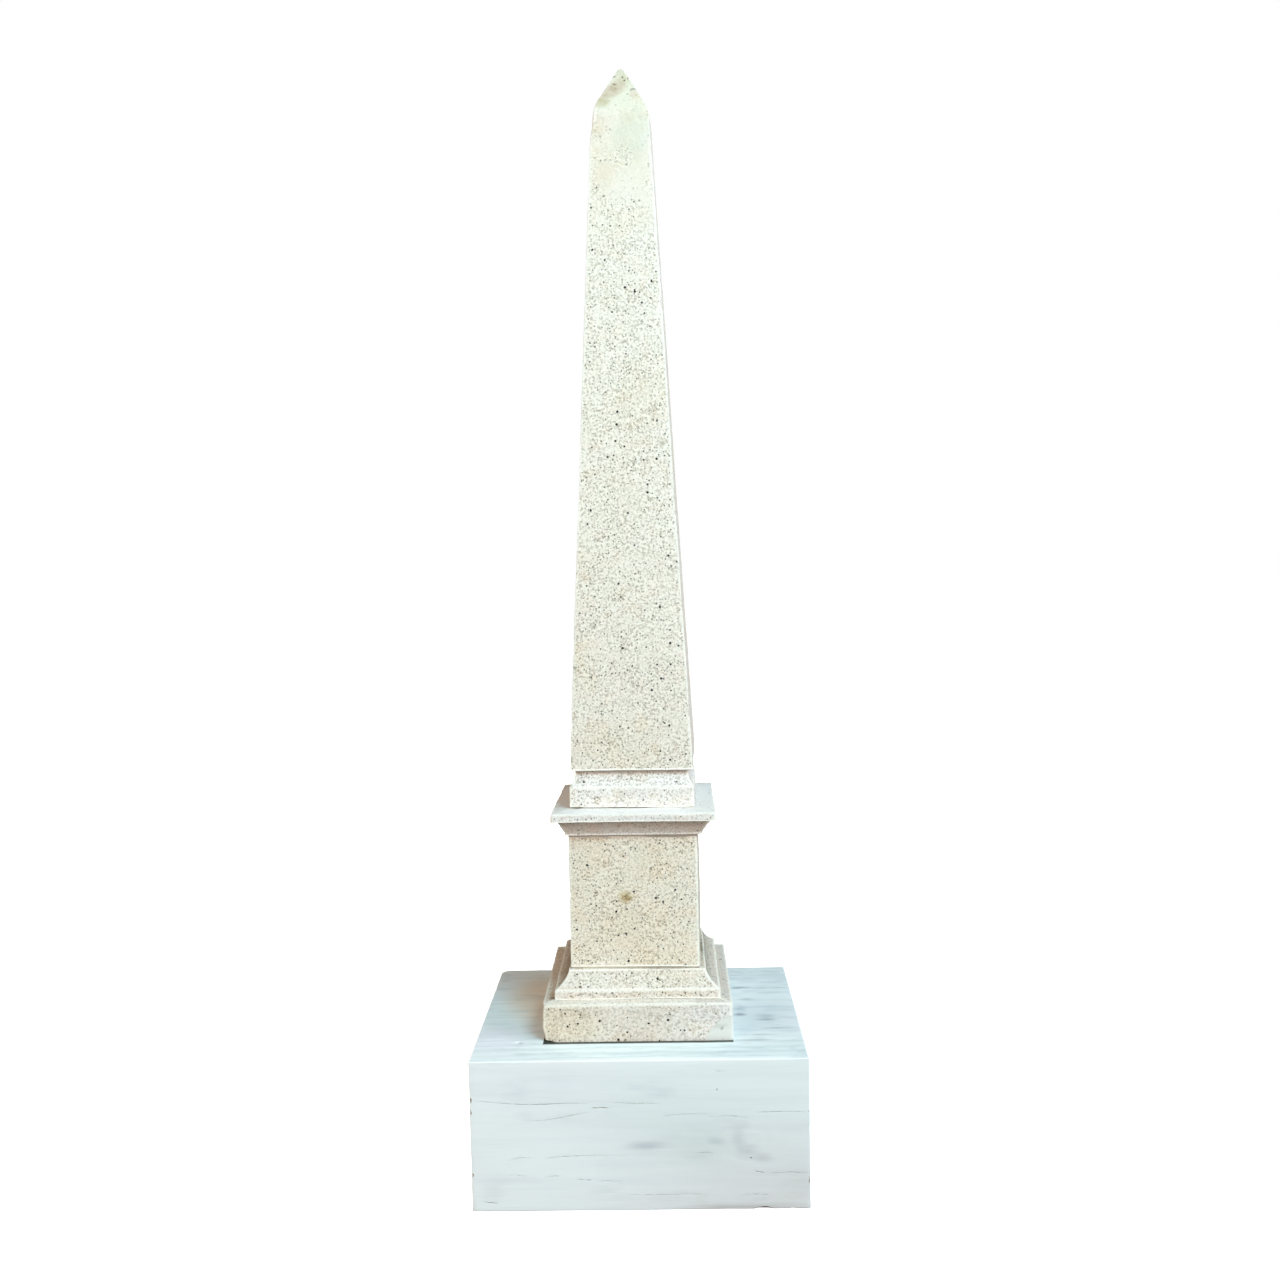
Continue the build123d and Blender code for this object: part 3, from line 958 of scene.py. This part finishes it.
# Marks in the paint on the front: centre along X and Z, half size, tint, amount and strength.
# Those weaker than this are broken up where the paint is sound.
BROKEN_BELOW = 0.5
FRONT_MARKS = (
    ((-95, 112), (84, 34), "#E0E1F0", 0.14, 1.0),
    ((20, 80), (120, 42), "#D3DDD9", 0.22, 1.0),
    ((56, 60), (46, 20), "#C6D2CE", 0.22, 1.0),
    ((-110, 111.5), (15.6, 18), "#B6B7CB", 0.38, 0.32),
    ((-73, 124), (26.4, 16.8), "#B9C6D6", 0.23, 0.32),
    ((0, 113), (43.2, 12), "#AAB4CB", 0.38, 0.32),
    ((22, 108), (18, 6), "#93A3B6", 0.3, 0.32),
    ((5.5, 59.5), (22.8, 5), "#5C6A86", 0.30, 1.0),
    ((2, 55), (20.4, 4.8), "#98A5BD", 0.3, 0.32),
    ((67, 64), (9.6, 5.5), "#7F8E93", 0.3, 0.6),
    ((82, 78.5), (18, 7.2), "#A6AAC4", 0.38, 0.32),
    ((92, 77), (8.4, 7.2), "#8C95A6", 0.3, 0.32),
    ((87, 65), (7.2, 12), "#929EA4", 0.35, 0.6),
    ((95, 54), (12, 7.2), "#98949F", 0.38, 0.6),
    ((107, 49.5), (10.8, 4.8), "#8B8486", 0.24, 0.6),
    ((112, 47.5), (9.6, 4.3), "#8B8680", 0.18, 0.6),
    ((102, 88), (18, 6), "#9CAAA8", 0.2, 0.32),
    ((-102, 88), (12, 6), "#ABABBE", 0.3, 0.32),
    ((-60, 86), (16.8, 6), "#A9B6B4", 0.25, 0.32),
    ((-30, 91), (40.8, 10.8), "#AFBDBD", 0.25, 0.32),
    ((-122, 29.5), (32.4, 8.4), "#A3A0B4", 0.3, 0.32),
    ((-102, 29), (14.4, 4.2), "#8F8B8C", 0.3, 0.32),
    ((-132, 17), (14.4, 10.8), "#A0939A", 0.3, 0.32),
    ((-31, 20), (19.2, 6), "#99A79F", 0.28, 0.32),
    ((52, 51), (21.6, 6), "#8F9D9F", 0.3, 0.32),
    ((40, 68), (48, 14.4), "#B4C2C0", 0.25, 0.32),
    ((18, 13), (69.6, 13.2), "#C3AFB4", 0.3, 0.32),
    ((53, 13), (6, 4.8), "#8E8F7C", 0.35, 0.4),
    ((63, 5), (40.8, 4.2), "#A29497", 0.35, 0.32),
    ((139, 21), (16.8, 24), "#AA9C90", 0.38, 0.32),
    ((96, 1.5), (74, 4), "#8F7F78", 0.34, 1.0),
    ((125, 33), (31.2, 3.6), "#A9A3A3", 0.35, 0.32),
    ((112, 8), (31.2, 4.8), "#A08F8C", 0.35, 0.32),
)

# Streaks of bare wood on the top: centre along X and Y, half size, tint and amount
TOP_MARKS = (
    ((104, 82), (22.5, 4), "#77889B", 0.45),
    ((99, 59.5), (15, 4.5), "#51677C", 0.59),
    ((126, 58.5), (37.5, 3.2), "#64787F", 0.55),
    ((104, 24.5), (12.5, 5), "#718388", 0.52),
    ((120, 23), (37.5, 3.8), "#8C9C9C", 0.39),
    ((96, 1), (10, 17.5), "#7E93AC", 0.39),
    ((96, -15), (10, 8.1), "#2F4A72", 0.62),
    ((122, -22), (18.8, 11.2), "#8B9C9F", 0.42),
    ((122, -29), (18.8, 3), "#6E7F84", 0.52),
    ((128, -52), (27.5, 3.2), "#75828A", 0.49),
    ((108, -66.5), (28.8, 3.8), "#79837F", 0.49),
    ((106, -79.5), (26.2, 3), "#77858F", 0.49),
    ((120, -95.5), (31.2, 2.8), "#8B9C9C", 0.39),
    ((-128, -79), (27.5, 2.8), "#8DA6C4", 0.36),
    ((-110, -81), (5.6, 3.8), "#4B5E78", 0.52),
    ((20, 108), (187.5, 12.5), "#93A3A8", 0.1),
)


def painted_timber():
    """Softwood beam under worn white paint.

    Gives the eye a cool white satin face with long blue-grey streaks where the wood shows
    through, rings that bend round knots, grime and painted contact shadow where the stone
    stands, painted shadow and painted light on the top beside it, a painted highlight along the
    edges, and bare brown wood inside checks and chips.
    """
    timber = bpy.context.scene.obelisk_timber
    low, high = box_mm("block")
    coat = Finish("worn_white_paint", timber.paint_colour)
    tree, coords, wood = coat.tree, coat.coords, timber.streak_colour
    _, y, z = add(tree, "ShaderNodeSeparateXYZ", coords).outputs
    rings, arris = (add(tree, "ShaderNodeAttribute", attribute_name=label).outputs["Fac"]
                    for label in ("rings", "arris"))
    along, squeezed = (
        add(tree, "ShaderNodeVectorMath", coords, (stretch, 1.0, 1.0), operation="MULTIPLY")
        for stretch in (0.06, 0.3))
    patches, fine, wear, scuffs, splits = (
        add(tree, "ShaderNodeTexNoise", inputs={
            "Vector": where, "Scale": 1 / (size * MM), "Detail": detail})
        for where, size, detail in (
            (along, 13, 3.0), (along, 1.7, 2.0), (squeezed, 7, 4.0), (squeezed, 8, 3.0),
            (along, 4, 2.0)))

    # Long soft patches, about a finger high and a hand long, fine streaks of about 1 mm, and
    # late wood: the hard dark edge of each ring. The top is painted greyer, with stronger patches
    patch = coat.share((patches, 0.48, 0.72))
    turn = add(tree, "ShaderNodeMath", rings, operation="FRACT")
    top = coat.share(span(z, 134.8, 137.3))
    coat.paint(wood, patch, 0.06)
    coat.paint(wood, (fine, 0.45, 0.75), 0.025)
    coat.paint(wood, (turn, 0.55, 0.97), (turn, 0.97, 1.0, 1.0, 0.0), 0.025)
    coat.paint("#8FA2AE", patch, top, 0.12)
    coat.paint("#C6D4D2", top, 0.05)
    # Greyish pink where damp rises, low on the right
    coat.paint("#DCD6D4", coat.spot(coords, (150, -123, 0), (260, 400, 120)), 0.57)

    # Knots, smears and streaks where wood bleeds through the paint
    loose = coat.shaken(5, 8, along)
    worn = coat.share((wear, 0.36, 0.62, 0.15, 1.0))
    coat.mark(loose, 0.0, [
        ((place, low.y, level), (wide * MARK_SPREAD, 25, tall * MARK_SPREAD), tint,
         amount * strength, *([worn] if strength < BROKEN_BELOW else []))
        for (place, level), (wide, tall), tint, amount, strength in FRONT_MARKS])
    coat.mark(loose, 0.0, [((*place, high.z), (*size, 12), tint, worn, amount)
                           for place, size, tint, amount in TOP_MARKS])
    # Short worn patches on the top; left of the stone, where its shadow falls, a browner
    # darkening that is partly dirt and partly painted shadow; a lavender-white patch of painted
    # light at the front left; and a greyer right
    coat.paint("#8C9DA8", (scuffs, 0.5, 0.68, 0.0, 0.16), top)
    coat.stain((1.0, 0.85, 0.73), coat.spot(loose, (-100, 36, high.z), (48, 88, 60), 0.35), top)
    coat.paint("#F4F3FC", coat.spot(loose, (-132, -70, high.z), (44, 60, 30)), top, 0.6)
    coat.stain((0.88, 0.88, 0.90), coat.spot(coords, (130, -30, high.z), (80, 75, 60), 0.2), top)
    # The paint has greyed towards the top right of the front
    coat.stain((0.91, 0.925, 0.915), coat.spot(coords, (150, -124, 120), (330, 120, 150)))

    # Grime and painted contact shadow round the foot of the stone, reaching further out in front
    # than beside it
    across, deep = coat.outside(*box_mm("plinth"))
    beside = add(tree, "ShaderNodeMath", across, 4.0, 6.0 * MM, operation="MULTIPLY_ADD")
    beyond = add(tree, "ShaderNodeMath", beside, deep, operation="MAXIMUM")
    coat.paint("#2B2E24", span(beyond, 3.8, 6.8, 0.96, 0.0), top)

    # A painted highlight along the rounded edges, most along the front
    coat.paint("#FCFFFF", (arris, 0.55, 0.9, 0.0, 0.9), span(z, high.z - 1.2, high.z - 0.6, 0.15, 1.0))
    coat.paint("#FCFFFF", span(y, low.y + 9, low.y + 4, 0.0, 0.85),
               coat.spot(coords, (5, low.y, high.z), (150, 30, 30), 0.5), top)

    # Bare wood deeper than the paint, in checks and chips, but not on the rounded back corner
    across, deep = coat.outside(low, high)
    skin = add(tree, "ShaderNodeMath", z, (high.z - 0.5) * MM, operation="SUBTRACT")
    for side in (across, deep):
        skin = add(tree, "ShaderNodeMath", skin, side, operation="MAXIMUM")
    corner = coat.spot(coords, (low.x, high.y, high.z / 2), (20, 20, 400), 0.8)
    coat.paint("#978D81", span(skin, -0.35, -0.55), (splits, 0.35, 0.6, 0.55, 1.0),
               (corner, 0.0, 1.0, 1.0, 0.0))
    return coat.close(fine, 0.3, 0.3, {
        "Roughness": coat.share((patches, 0.3, 0.7, 0.42, 0.62)), "Specular IOR Level": 0.4})


def kept_material(name, make, *details):
    """The material of that name, made the first time it's asked for."""
    return bpy.data.materials.get(name) or make(*details)


def stains_from(base, marks):
    """Marks whose places are measured from a point on the obelisk's axis."""
    return [(base + Vector(place), *rest) for place, *rest in marks]


def shaft_stone():
    """The shaft's paler bed of stone, with tea-coloured and olive stains on its cap."""
    tip = bed_centre("shaft") + Vector((0, 0, height_of("shaft")))
    name = "pale_speckled_stone"
    return kept_material(
        name, speckled_stone, name, bpy.context.scene.obelisk_stone.shaft_colour, 0.6, 0,
        ((1, 1, 1), (1, 1, 1)), stains_from(tip, (
            ((-3, -14, -19), (11, 20, 10), "#E3D6CB", 0.8),
            ((-10, -18, -25), (12, 20, 10), "#E3D6CB", 0.8),
            ((-17, -20, -33), (12, 20, 9), "#E6DECD", 0.75),
            ((-19, -20, -38), (11, 20, 8), "#E0DFC9", 0.6),
            ((5, -8, -13), (9, 14, 9), "#DFDFCA", 0.5),
            ((-1, -4, -6), (9, 12, 11), "#E3E0D0", 0.6),
            ((1.2, -5, -9.5), (1.6, 9, 1.5), "#3B3A30", 0.8),
            ((3.0, -8, -14), (1.8, 9, 1.5), "#4A4935", 0.8),
            ((-6.6, -8, -10), (1.9, 9, 1.3), "#77736A", 0.8),
            ((7.0, -8, -12.5), (1.6, 9, 1.6), "#6A6B4C", 0.6),
            ((-6, -12, -17), (2.4, 9, 1.5), "#7C7565", 0.7),
            ((12, -14, -24), (4.0, 12, 1.3), "#8A8880", 0.6),
            ((14, -16, -30), (9, 14, 7), "#F2EAE5", 0.8),
            ((-22, -24, -62), (9, 20, 14), "#F4EFE8", 0.6),
            ((-16, -28, -100), (10, 20, 30), "#F1F0E8", 0.3),
            ((10, -28, -70), (24, 20, 34), "#F2F8F6", 0.9),
            ((8, 0, -34), (40, 60, 44), "#F6F4EA", 0.8))))


def pedestal_stone():
    """The pedestal's warmer bed of stone, with a rust spot on the front of the die."""
    name = "warm_speckled_stone"
    return kept_material(
        name, speckled_stone, name, bpy.context.scene.obelisk_stone.pedestal_colour, 0.3,
        box_mm("die_bed")[0].z, ((0.65, 0.61, 0.54), (0.81, 0.825, 0.80)),
        stains_from(bed_centre("die") + Vector((-10.5, -61, 67.5)), (
            ((0, 0, 0), (9.5, 9, 8), "#E9E0C8", 1.0),
            ((1.5, 0, -3), (7, 6, 5), "#CDBC9C", 0.8),
            ((12, 0, -30), (50, 20, 34), "#FBF7F0", 0.6)))
        + stains_from(bed_centre("plinth"), (
            ((-62, -88, 17), (44, 22, 24), "#F7F3E8", 0.9),
            ((6, -88, 14), (48, 22, 22), "#F6F4F2", 0.9),
            ((-80, -69, 39), (4.5, 15, 6), "#8B8172", 0.9),
            # Painted shade in the angles along the die's left and right feet
            ((-62, -6, 60), (4.0, 62, 8), "#8A7670", 0.9),
            ((61.5, 4, 61.5), (2.6, 66, 5), "#A8A397", 0.9))))


# ---------------------------------------------------------------- pieces

class OBELISK_OT_timber_block(bpy.types.Operator):
    """Build the timber block with its raised grain, drying checks and knocked edges"""
    bl_idname = "obelisk.timber_block"
    bl_label = "Timber Block"

    def execute(self, context):
        low, high = box_mm("block")
        sharp, faces = ruled_box([
            stops(low.x, high.x, GRAIN_STEP_ALONG, BLOCK_ARRIS, BLOCK_ARRIS),
            stops(low.y, high.y, GRAIN_STEP_ACROSS * 1.2, BLOCK_ARRIS, BLOCK_ARRIS),
            stops(low.z, high.z, GRAIN_STEP_ACROSS, BLOCK_FOOT_ARRIS, BLOCK_ARRIS)])
        verts, rings, relief, arris = [], [], [], []
        for vert in sharp:
            place, direction = round_off(vert, low, high)
            nearest = sorted(min(vert[i] - low[i], high[i] - vert[i]) for i in range(3))
            verts.append(place)
            rings.append(rings_at(place))
            # The grain stands up a little on the sides and most along the front of the top
            up = max(0.0, direction.z)
            trodden = 0.12 + 0.42 * min(1.0, max(0.0, (-40 - place.y) / 40))
            relief.append(0.0 if direction.z < -0.5 else 0.2 + 0.8 * up * up * trodden)
            arris.append(0.0 if vert.z == low.z else max(0.0, 1 - nearest[1] / WEAR_WIDTH))
        block = mesh_piece("timber_block", verts, faces,
                           {"rings": rings, "relief": relief, "arris": arris})
        timber = context.scene.obelisk_timber
        cut_relief(block, "raised_grain", TIMBER_LAYERS, 0.12, {
            "Ridge Depth": timber.ridge_depth, "Ripple Depth": timber.ripple_depth,
            "Ripple Size": 5 * MM, "Chip Depth": 0.45 * MM, "Chip Size": 1 / 90,
            "Seed": timber.seed, "Material": kept_material("worn_white_paint", painted_timber)})
        wedges = [check_wedge(*on_face(face, route, low, high), max(width, CHECK_WIDTH), CHECK_DEPTH)
                  for face, route, width in CHECKS]
        lumps = [lump(Vector(centre), size, 3, ((0.35, 1.7, Vector(centre)),))
                 for centre, size in CHIPS]
        for shapes in (wedges, lumps):
            verts, faces = [], []
            for more_verts, more_faces in shapes:
                faces += [[i + len(verts) for i in corners] for corners in more_faces]
                verts += more_verts
            carve(block, (verts, faces), "DIFFERENCE")
        stand_for(block, "block")
        return {"FINISHED"}


class OBELISK_OT_plinth(bpy.types.Operator):
    """Build the plinth and the filler that makes good its broken corner"""
    bl_idname = "obelisk.plinth"
    bl_label = "Plinth and Repair"

    def execute(self, context):
        half, height, foot = square_half("plinth"), height_of("plinth"), bed_centre("plinth")
        outline = eased([
            *seat(half), (half, -SEAT_DROP, 0.4), (half, height - LEDGE_FALL, 1.2),
            (half - BASE_LEDGE, height, 0), (half - BASE_LEDGE - BED_SINK, height, 0)])
        knocks = (
            (foot + Vector((-half, -half, 0)), 14, Vector((2.0, 1.4, 1.6))),
            (foot + Vector((-half, -half, height)), 9, Vector((1.2, 1.2, -0.8))))
        plinth = square_stone("plinth_slab", outline, foot, 0, 1.8, knocks)
        hand_finish(plinth, pedestal_stone(), wave_depth=0.1, chip_depth=0.7)
        repair = placed("corner_filler", plinth.data.copy())
        centre = foot + Vector((half, -half, -REPAIR_DROP))
        for piece, radius, operation in (
                (plinth, REPAIR_RADIUS + REPAIR_GAP, "DIFFERENCE"),
                (repair, REPAIR_RADIUS, "INTERSECT")):
            no_shift = Vector((0, 0, 0))
            ball = lump(centre, [radius] * 3, 5, ((0.10, 2.2, no_shift), (0.035, 8, no_shift)))
            carve(piece, ball, operation)
        repair.data.materials.clear()
        repair.data.materials.append(lime_filler())
        stand_for(plinth, "plinth")
        stand_for(repair, "plinth_repair")
        return {"FINISHED"}


class OBELISK_OT_base_moulding(bpy.types.Operator):
    """Build the fillet and hollow between plinth and die"""
    bl_idname = "obelisk.base_moulding"
    bl_label = "Base Moulding"

    def execute(self, context):
        half, height = square_half("base_moulding"), height_of("base_moulding")
        lip, top = (half, BASE_FILLET_HEIGHT), (half - BASE_HOLLOW_DEPTH, height)
        outline = eased([
            (half - BED_SINK, 0, 0), (half, 0, 0.15), (*lip, 1.4),
            *hollow(lip, top, BASE_HOLLOW_SAGITTA), (*top, 0.3),
            (top[0] - BED_SINK, height, 0)], MOULDING_GRID)
        lay_stone("base_hollow", "base_moulding", outline, 0, 1.6, pedestal_stone(),
                  chip_depth=0.9)
        return {"FINISHED"}


class OBELISK_OT_die(bpy.types.Operator):
    """Build the plain battered body of the pedestal"""
    bl_idname = "obelisk.die"
    bl_label = "Die"

    def execute(self, context):
        half, height = square_half("die", DIE_TURN), height_of("die")
        top = square_half("cornice_bed", CORNICE_TURN) + BED_RAKE
        start, end = SEAT_SLOPE
        outline = eased([
            (half - BED_SINK, 0, 0), (half, 0, 0.3), (top, height + JOINT_LIP, 0.3),
            (top - end, height + JOINT_LIP, 0), (top - start, height, 0),
            (top - BED_SINK, height, 0)])
        dimple = (bed_centre("die") + Vector((-10, -half, 68)), 4.5, Vector((0, 1.1, 0)))
        lay_stone("die_stone", "die", outline, DIE_TURN, 1.6, pedestal_stone(), (dimple,))
        return {"FINISHED"}


class OBELISK_OT_cornice(bpy.types.Operator):
    """Build the cornice: fillet, hollow, corona and sloping top"""
    bl_idname = "obelisk.cornice"
    bl_label = "Cornice"

    def execute(self, context):
        widest, height = square_half("cornice", CORNICE_TURN), height_of("cornice")
        hollow_half = widest - CORONA_PROJECTION
        foot_half = hollow_half - CORNICE_HOLLOW_DEPTH
        socle_half = square_half("socle", SHAFT_TURN)
        lip, soffit = (foot_half, CORNICE_FILLET_HEIGHT), (hollow_half, SOFFIT_HEIGHT)
        outline = eased([
            (foot_half - BED_SINK, 0, 0), (foot_half, 0, 0.4), (*lip, 0.4),
            *hollow(lip, soffit, CORNICE_HOLLOW_SAGITTA), (*soffit, 0),
            (widest, SOFFIT_HEIGHT + SOFFIT_RISE, 0.3), (widest, CORONA_TOP, 1.4),
            (socle_half, height, 0), (socle_half - BED_SINK, height, 0)], MOULDING_GRID)
        lay_stone("cornice_stone", "cornice", outline, CORNICE_TURN, 2.2, shaft_stone(),
                  wave_size=45)
        return {"FINISHED"}


class OBELISK_OT_socle(bpy.types.Operator):
    """Build the step and hollow neck under the shaft"""
    bl_idname = "obelisk.socle"
    bl_label = "Socle"

    def execute(self, context):
        half, height = square_half("socle", SHAFT_TURN), height_of("socle")
        step, neck = (half, SOCLE_STEP_HEIGHT), (half - NECK_HOLLOW_DEPTH, height)
        outline = eased([
            (half - BED_SINK, 0, 0), (half, 0, 0.5), (*step, 1.3),
            *hollow(step, neck, NECK_HOLLOW_SAGITTA), (*neck, 0.5),
            (neck[0] - BED_SINK, height, 0)], MOULDING_GRID)
        lay_stone("socle_stone", "socle", outline, SHAFT_TURN, 1.8, shaft_stone(),
                  wave_size=45, chip_depth=1.0)
        return {"FINISHED"}


class OBELISK_OT_shaft(bpy.types.Operator):
    """Build the tapering shaft with its pointed cap"""
    bl_idname = "obelisk.shaft"
    bl_label = "Shaft"

    def execute(self, context):
        foot = square_half("shaft", SHAFT_TURN)
        lean = math.atan((foot - SHAFT_TOP_HALF) / SHAFT_HEIGHT)
        reach = SHOULDER_RADIUS * math.tan((CAP_SLOPE - lean) / 2)
        shoulder = (SHAFT_TOP_HALF - reach * math.sin(lean), SHAFT_HEIGHT + reach * math.cos(lean))
        tip_centre = height_of("shaft") - TIP_RADIUS
        tip = []
        for i in range(5):
            angle = CAP_SLOPE + (TIP_END - CAP_SLOPE) * i / 4
            tip.append((TIP_RADIUS * math.cos(angle), tip_centre + TIP_RADIUS * math.sin(angle), 0))
        outline = eased([*seat(foot), (foot, -SEAT_DROP, 0.3), (*shoulder, reach), *tip])
        worn_shoulder = Vector((-SHAFT_TOP_HALF, -SHAFT_TOP_HALF, SHAFT_HEIGHT))
        knock = (bed_centre("shaft") + worn_shoulder, 24, Vector((1.6, 0.4, -0.6)))
        lay_stone("shaft_stone", "shaft", outline, SHAFT_TURN, 1.0, shaft_stone(), (knock,),
                  wave_size=110, chip_depth=1.1)
        return {"FINISHED"}


class OBELISK_OT_mortar_beds(bpy.types.Operator):
    """Build the thin raked beds of mortar between the stones"""
    bl_idname = "obelisk.mortar_beds"
    bl_label = "Mortar Beds"

    def execute(self, context):
        mortar = kept_material("stained_mortar", stained_mortar)
        for node, turn, pointing in (
                ("die_bed", DIE_TURN, 1.0), ("cornice_bed", CORNICE_TURN, 0.8),
                ("shaft_bed", SHAFT_TURN, 0.0)):
            half, height = square_half(node, turn) + pointing, height_of(node)
            outline = eased([
                (half - BED_SINK, 0, 0), (half, 0, 0.1), (half, height, 0.1),
                (half - BED_SINK, height, 0)], 0.4)
            lay_stone(node + "_mortar", node, outline, turn, 1.0, mortar,
                      slot="bedding_mortar", wave_depth=0.0, tool_depth=0.1)
        return {"FINISHED"}


# ---------------------------------------------------------------- studio

# Camera: where it stands, its turn, downward tilt and roll in degrees, and its lens
CAMERA_PLACE = (30.8, -1235.3, 594.1)
CAMERA_YAW, CAMERA_PITCH, CAMERA_ROLL = -1.13, 4.25, -1.15
CAMERA_LENS = 36.27

# Soft boxes: bearing from the front towards +X and height above the horizon in degrees,
# distance and size in metres, power in watts and colour
SOFT_BOXES = {
    "key": (32, 42, 2.2, 0.9, 32.0, "#B5EDFF"),
    "window": (65, 12, 2.4, 1.6, 53.6, "#FFFAFE"),
    "room": (-45, 15, 2.6, 1.6, 45.9, "#FFF2E4"),
    "sky": (20, 86, 2.0, 1.6, 4.1, "#FAFFF8"),
    "back_fill": (180, 4, 2.6, 0.9, 44.0, "#FFF6EA"),
}
MATT_BOXES = ("back_fill",)     # low behind, where it would glare in the block's top
LIGHT_TARGET = (0, 0, 400)


def direction(bearing, rise):
    """Unit vector at a bearing from the front towards +X and a height above the horizon."""
    across, up = math.radians(bearing), math.radians(rise)
    return Vector((math.sin(across) * math.cos(up), -math.cos(across) * math.cos(up), math.sin(up)))


class OBELISK_OT_studio(bpy.types.Operator):
    """Build the pale floor, the white surround, the soft boxes and the camera"""
    bl_idname = "obelisk.studio"
    bl_label = "Studio"

    def execute(self, context):
        studio = context.scene.obelisk_studio
        self.lay_floor(studio.floor_radius)
        target = Vector(LIGHT_TARGET) * MM
        for name, (bearing, rise, distance, size, power, colour) in SOFT_BOXES.items():
            light = bpy.data.lights.new(name, "AREA")
            light.shape = "DISK"
            light.size = size
            light.energy = power * studio.light_level
            light.color = linear(colour)
            lamp = placed(name, light)
            lamp.visible_camera = False
            lamp.visible_glossy = name not in MATT_BOXES
            away = direction(bearing, rise)
            lamp.location = target + away * distance
            lamp.rotation_euler = (-away).to_track_quat("-Z", "Y").to_euler()
        self.hang_surround(context)
        self.set_camera(context)
        context.scene.view_settings.view_transform = "Standard"
        return {"FINISHED"}

    def lay_floor(self, radius):
        floor_mesh = bpy.data.meshes.new("floor")
        disc = bmesh.new()
        bmesh.ops.create_circle(disc, cap_ends=True, radius=radius, segments=96)
        disc.to_mesh(floor_mesh)
        disc.free()
        floor = placed("floor", floor_mesh)
        material, tree, shader = new_material("white_floor")
        feed(tree, shader, {
            "Base Color": tone("#F7F7F7"), "Roughness": 0.9, "Specular IOR Level": 0.1,
            "Emission Color": tone("#FFFFFF"), "Emission Strength": 1.0})
        floor_mesh.materials.append(material)
        floor.visible_diffuse = False
        floor.visible_glossy = False

    def hang_surround(self, context):
        world = bpy.data.worlds.new("Surround")
        context.scene.world = world
        world.use_nodes = True
        world.node_tree.nodes["Background"].inputs["Color"].default_value = tone("#FFFFFF")
        world.cycles_visibility.diffuse = False
        world.cycles_visibility.glossy = False

    def set_camera(self, context):
        yaw, roll = math.radians(CAMERA_YAW), math.radians(CAMERA_ROLL)
        ahead = -direction(-CAMERA_YAW, CAMERA_PITCH)
        right = Vector((math.cos(yaw), -math.sin(yaw), 0))
        up = right.cross(ahead)
        rolled_right = right * math.cos(roll) + up * math.sin(roll)
        rolled_up = up * math.cos(roll) - right * math.sin(roll)
        stand = Matrix((rolled_right, rolled_up, -ahead)).transposed().to_4x4()
        stand.translation = Vector(CAMERA_PLACE) * MM
        view = bpy.data.cameras.new("Camera")
        view.lens = CAMERA_LENS
        view.sensor_width = 36.0
        camera = placed("Camera", view)
        camera.matrix_world = stand
        context.scene.camera = camera


# ---------------------------------------------------------------- add-on

SETTINGS = {
    "obelisk_stone": OBELISK_PG_stone, "obelisk_timber": OBELISK_PG_timber,
    "obelisk_studio": OBELISK_PG_studio}
STEPS = (
    OBELISK_OT_timber_block, OBELISK_OT_plinth, OBELISK_OT_base_moulding, OBELISK_OT_die,
    OBELISK_OT_cornice, OBELISK_OT_socle, OBELISK_OT_shaft, OBELISK_OT_mortar_beds,
    OBELISK_OT_studio)


class OBELISK_PT_panel(bpy.types.Panel):
    """Sidebar panel with the settings and one button for each step"""
    bl_idname = "OBELISK_PT_panel"
    bl_label = "Stone Obelisk"
    bl_space_type = "VIEW_3D"
    bl_region_type = "UI"
    bl_category = "Obelisk"

    def draw(self, context):
        for group in SETTINGS:
            settings, box = getattr(context.scene, group), self.layout.box()
            for name in settings.__annotations__:
                box.prop(settings, name)
        for step in STEPS:
            self.layout.operator(step.bl_idname)


CLASSES = (*SETTINGS.values(), *STEPS, OBELISK_PT_panel)


def register():
    for cls in CLASSES:
        bpy.utils.register_class(cls)
    for name, group in SETTINGS.items():
        setattr(bpy.types.Scene, name, PointerProperty(type=group))


def unregister():
    for name in SETTINGS:
        delattr(bpy.types.Scene, name)
    for cls in reversed(CLASSES):
        bpy.utils.unregister_class(cls)


def main():
    register()
    bpy.ops.obelisk.timber_block()
    bpy.ops.obelisk.plinth()
    bpy.ops.obelisk.base_moulding()
    bpy.ops.obelisk.die()
    bpy.ops.obelisk.cornice()
    bpy.ops.obelisk.socle()
    bpy.ops.obelisk.shaft()
    bpy.ops.obelisk.mortar_beds()
    bpy.ops.obelisk.studio()


if __name__ == "__main__":
    main()
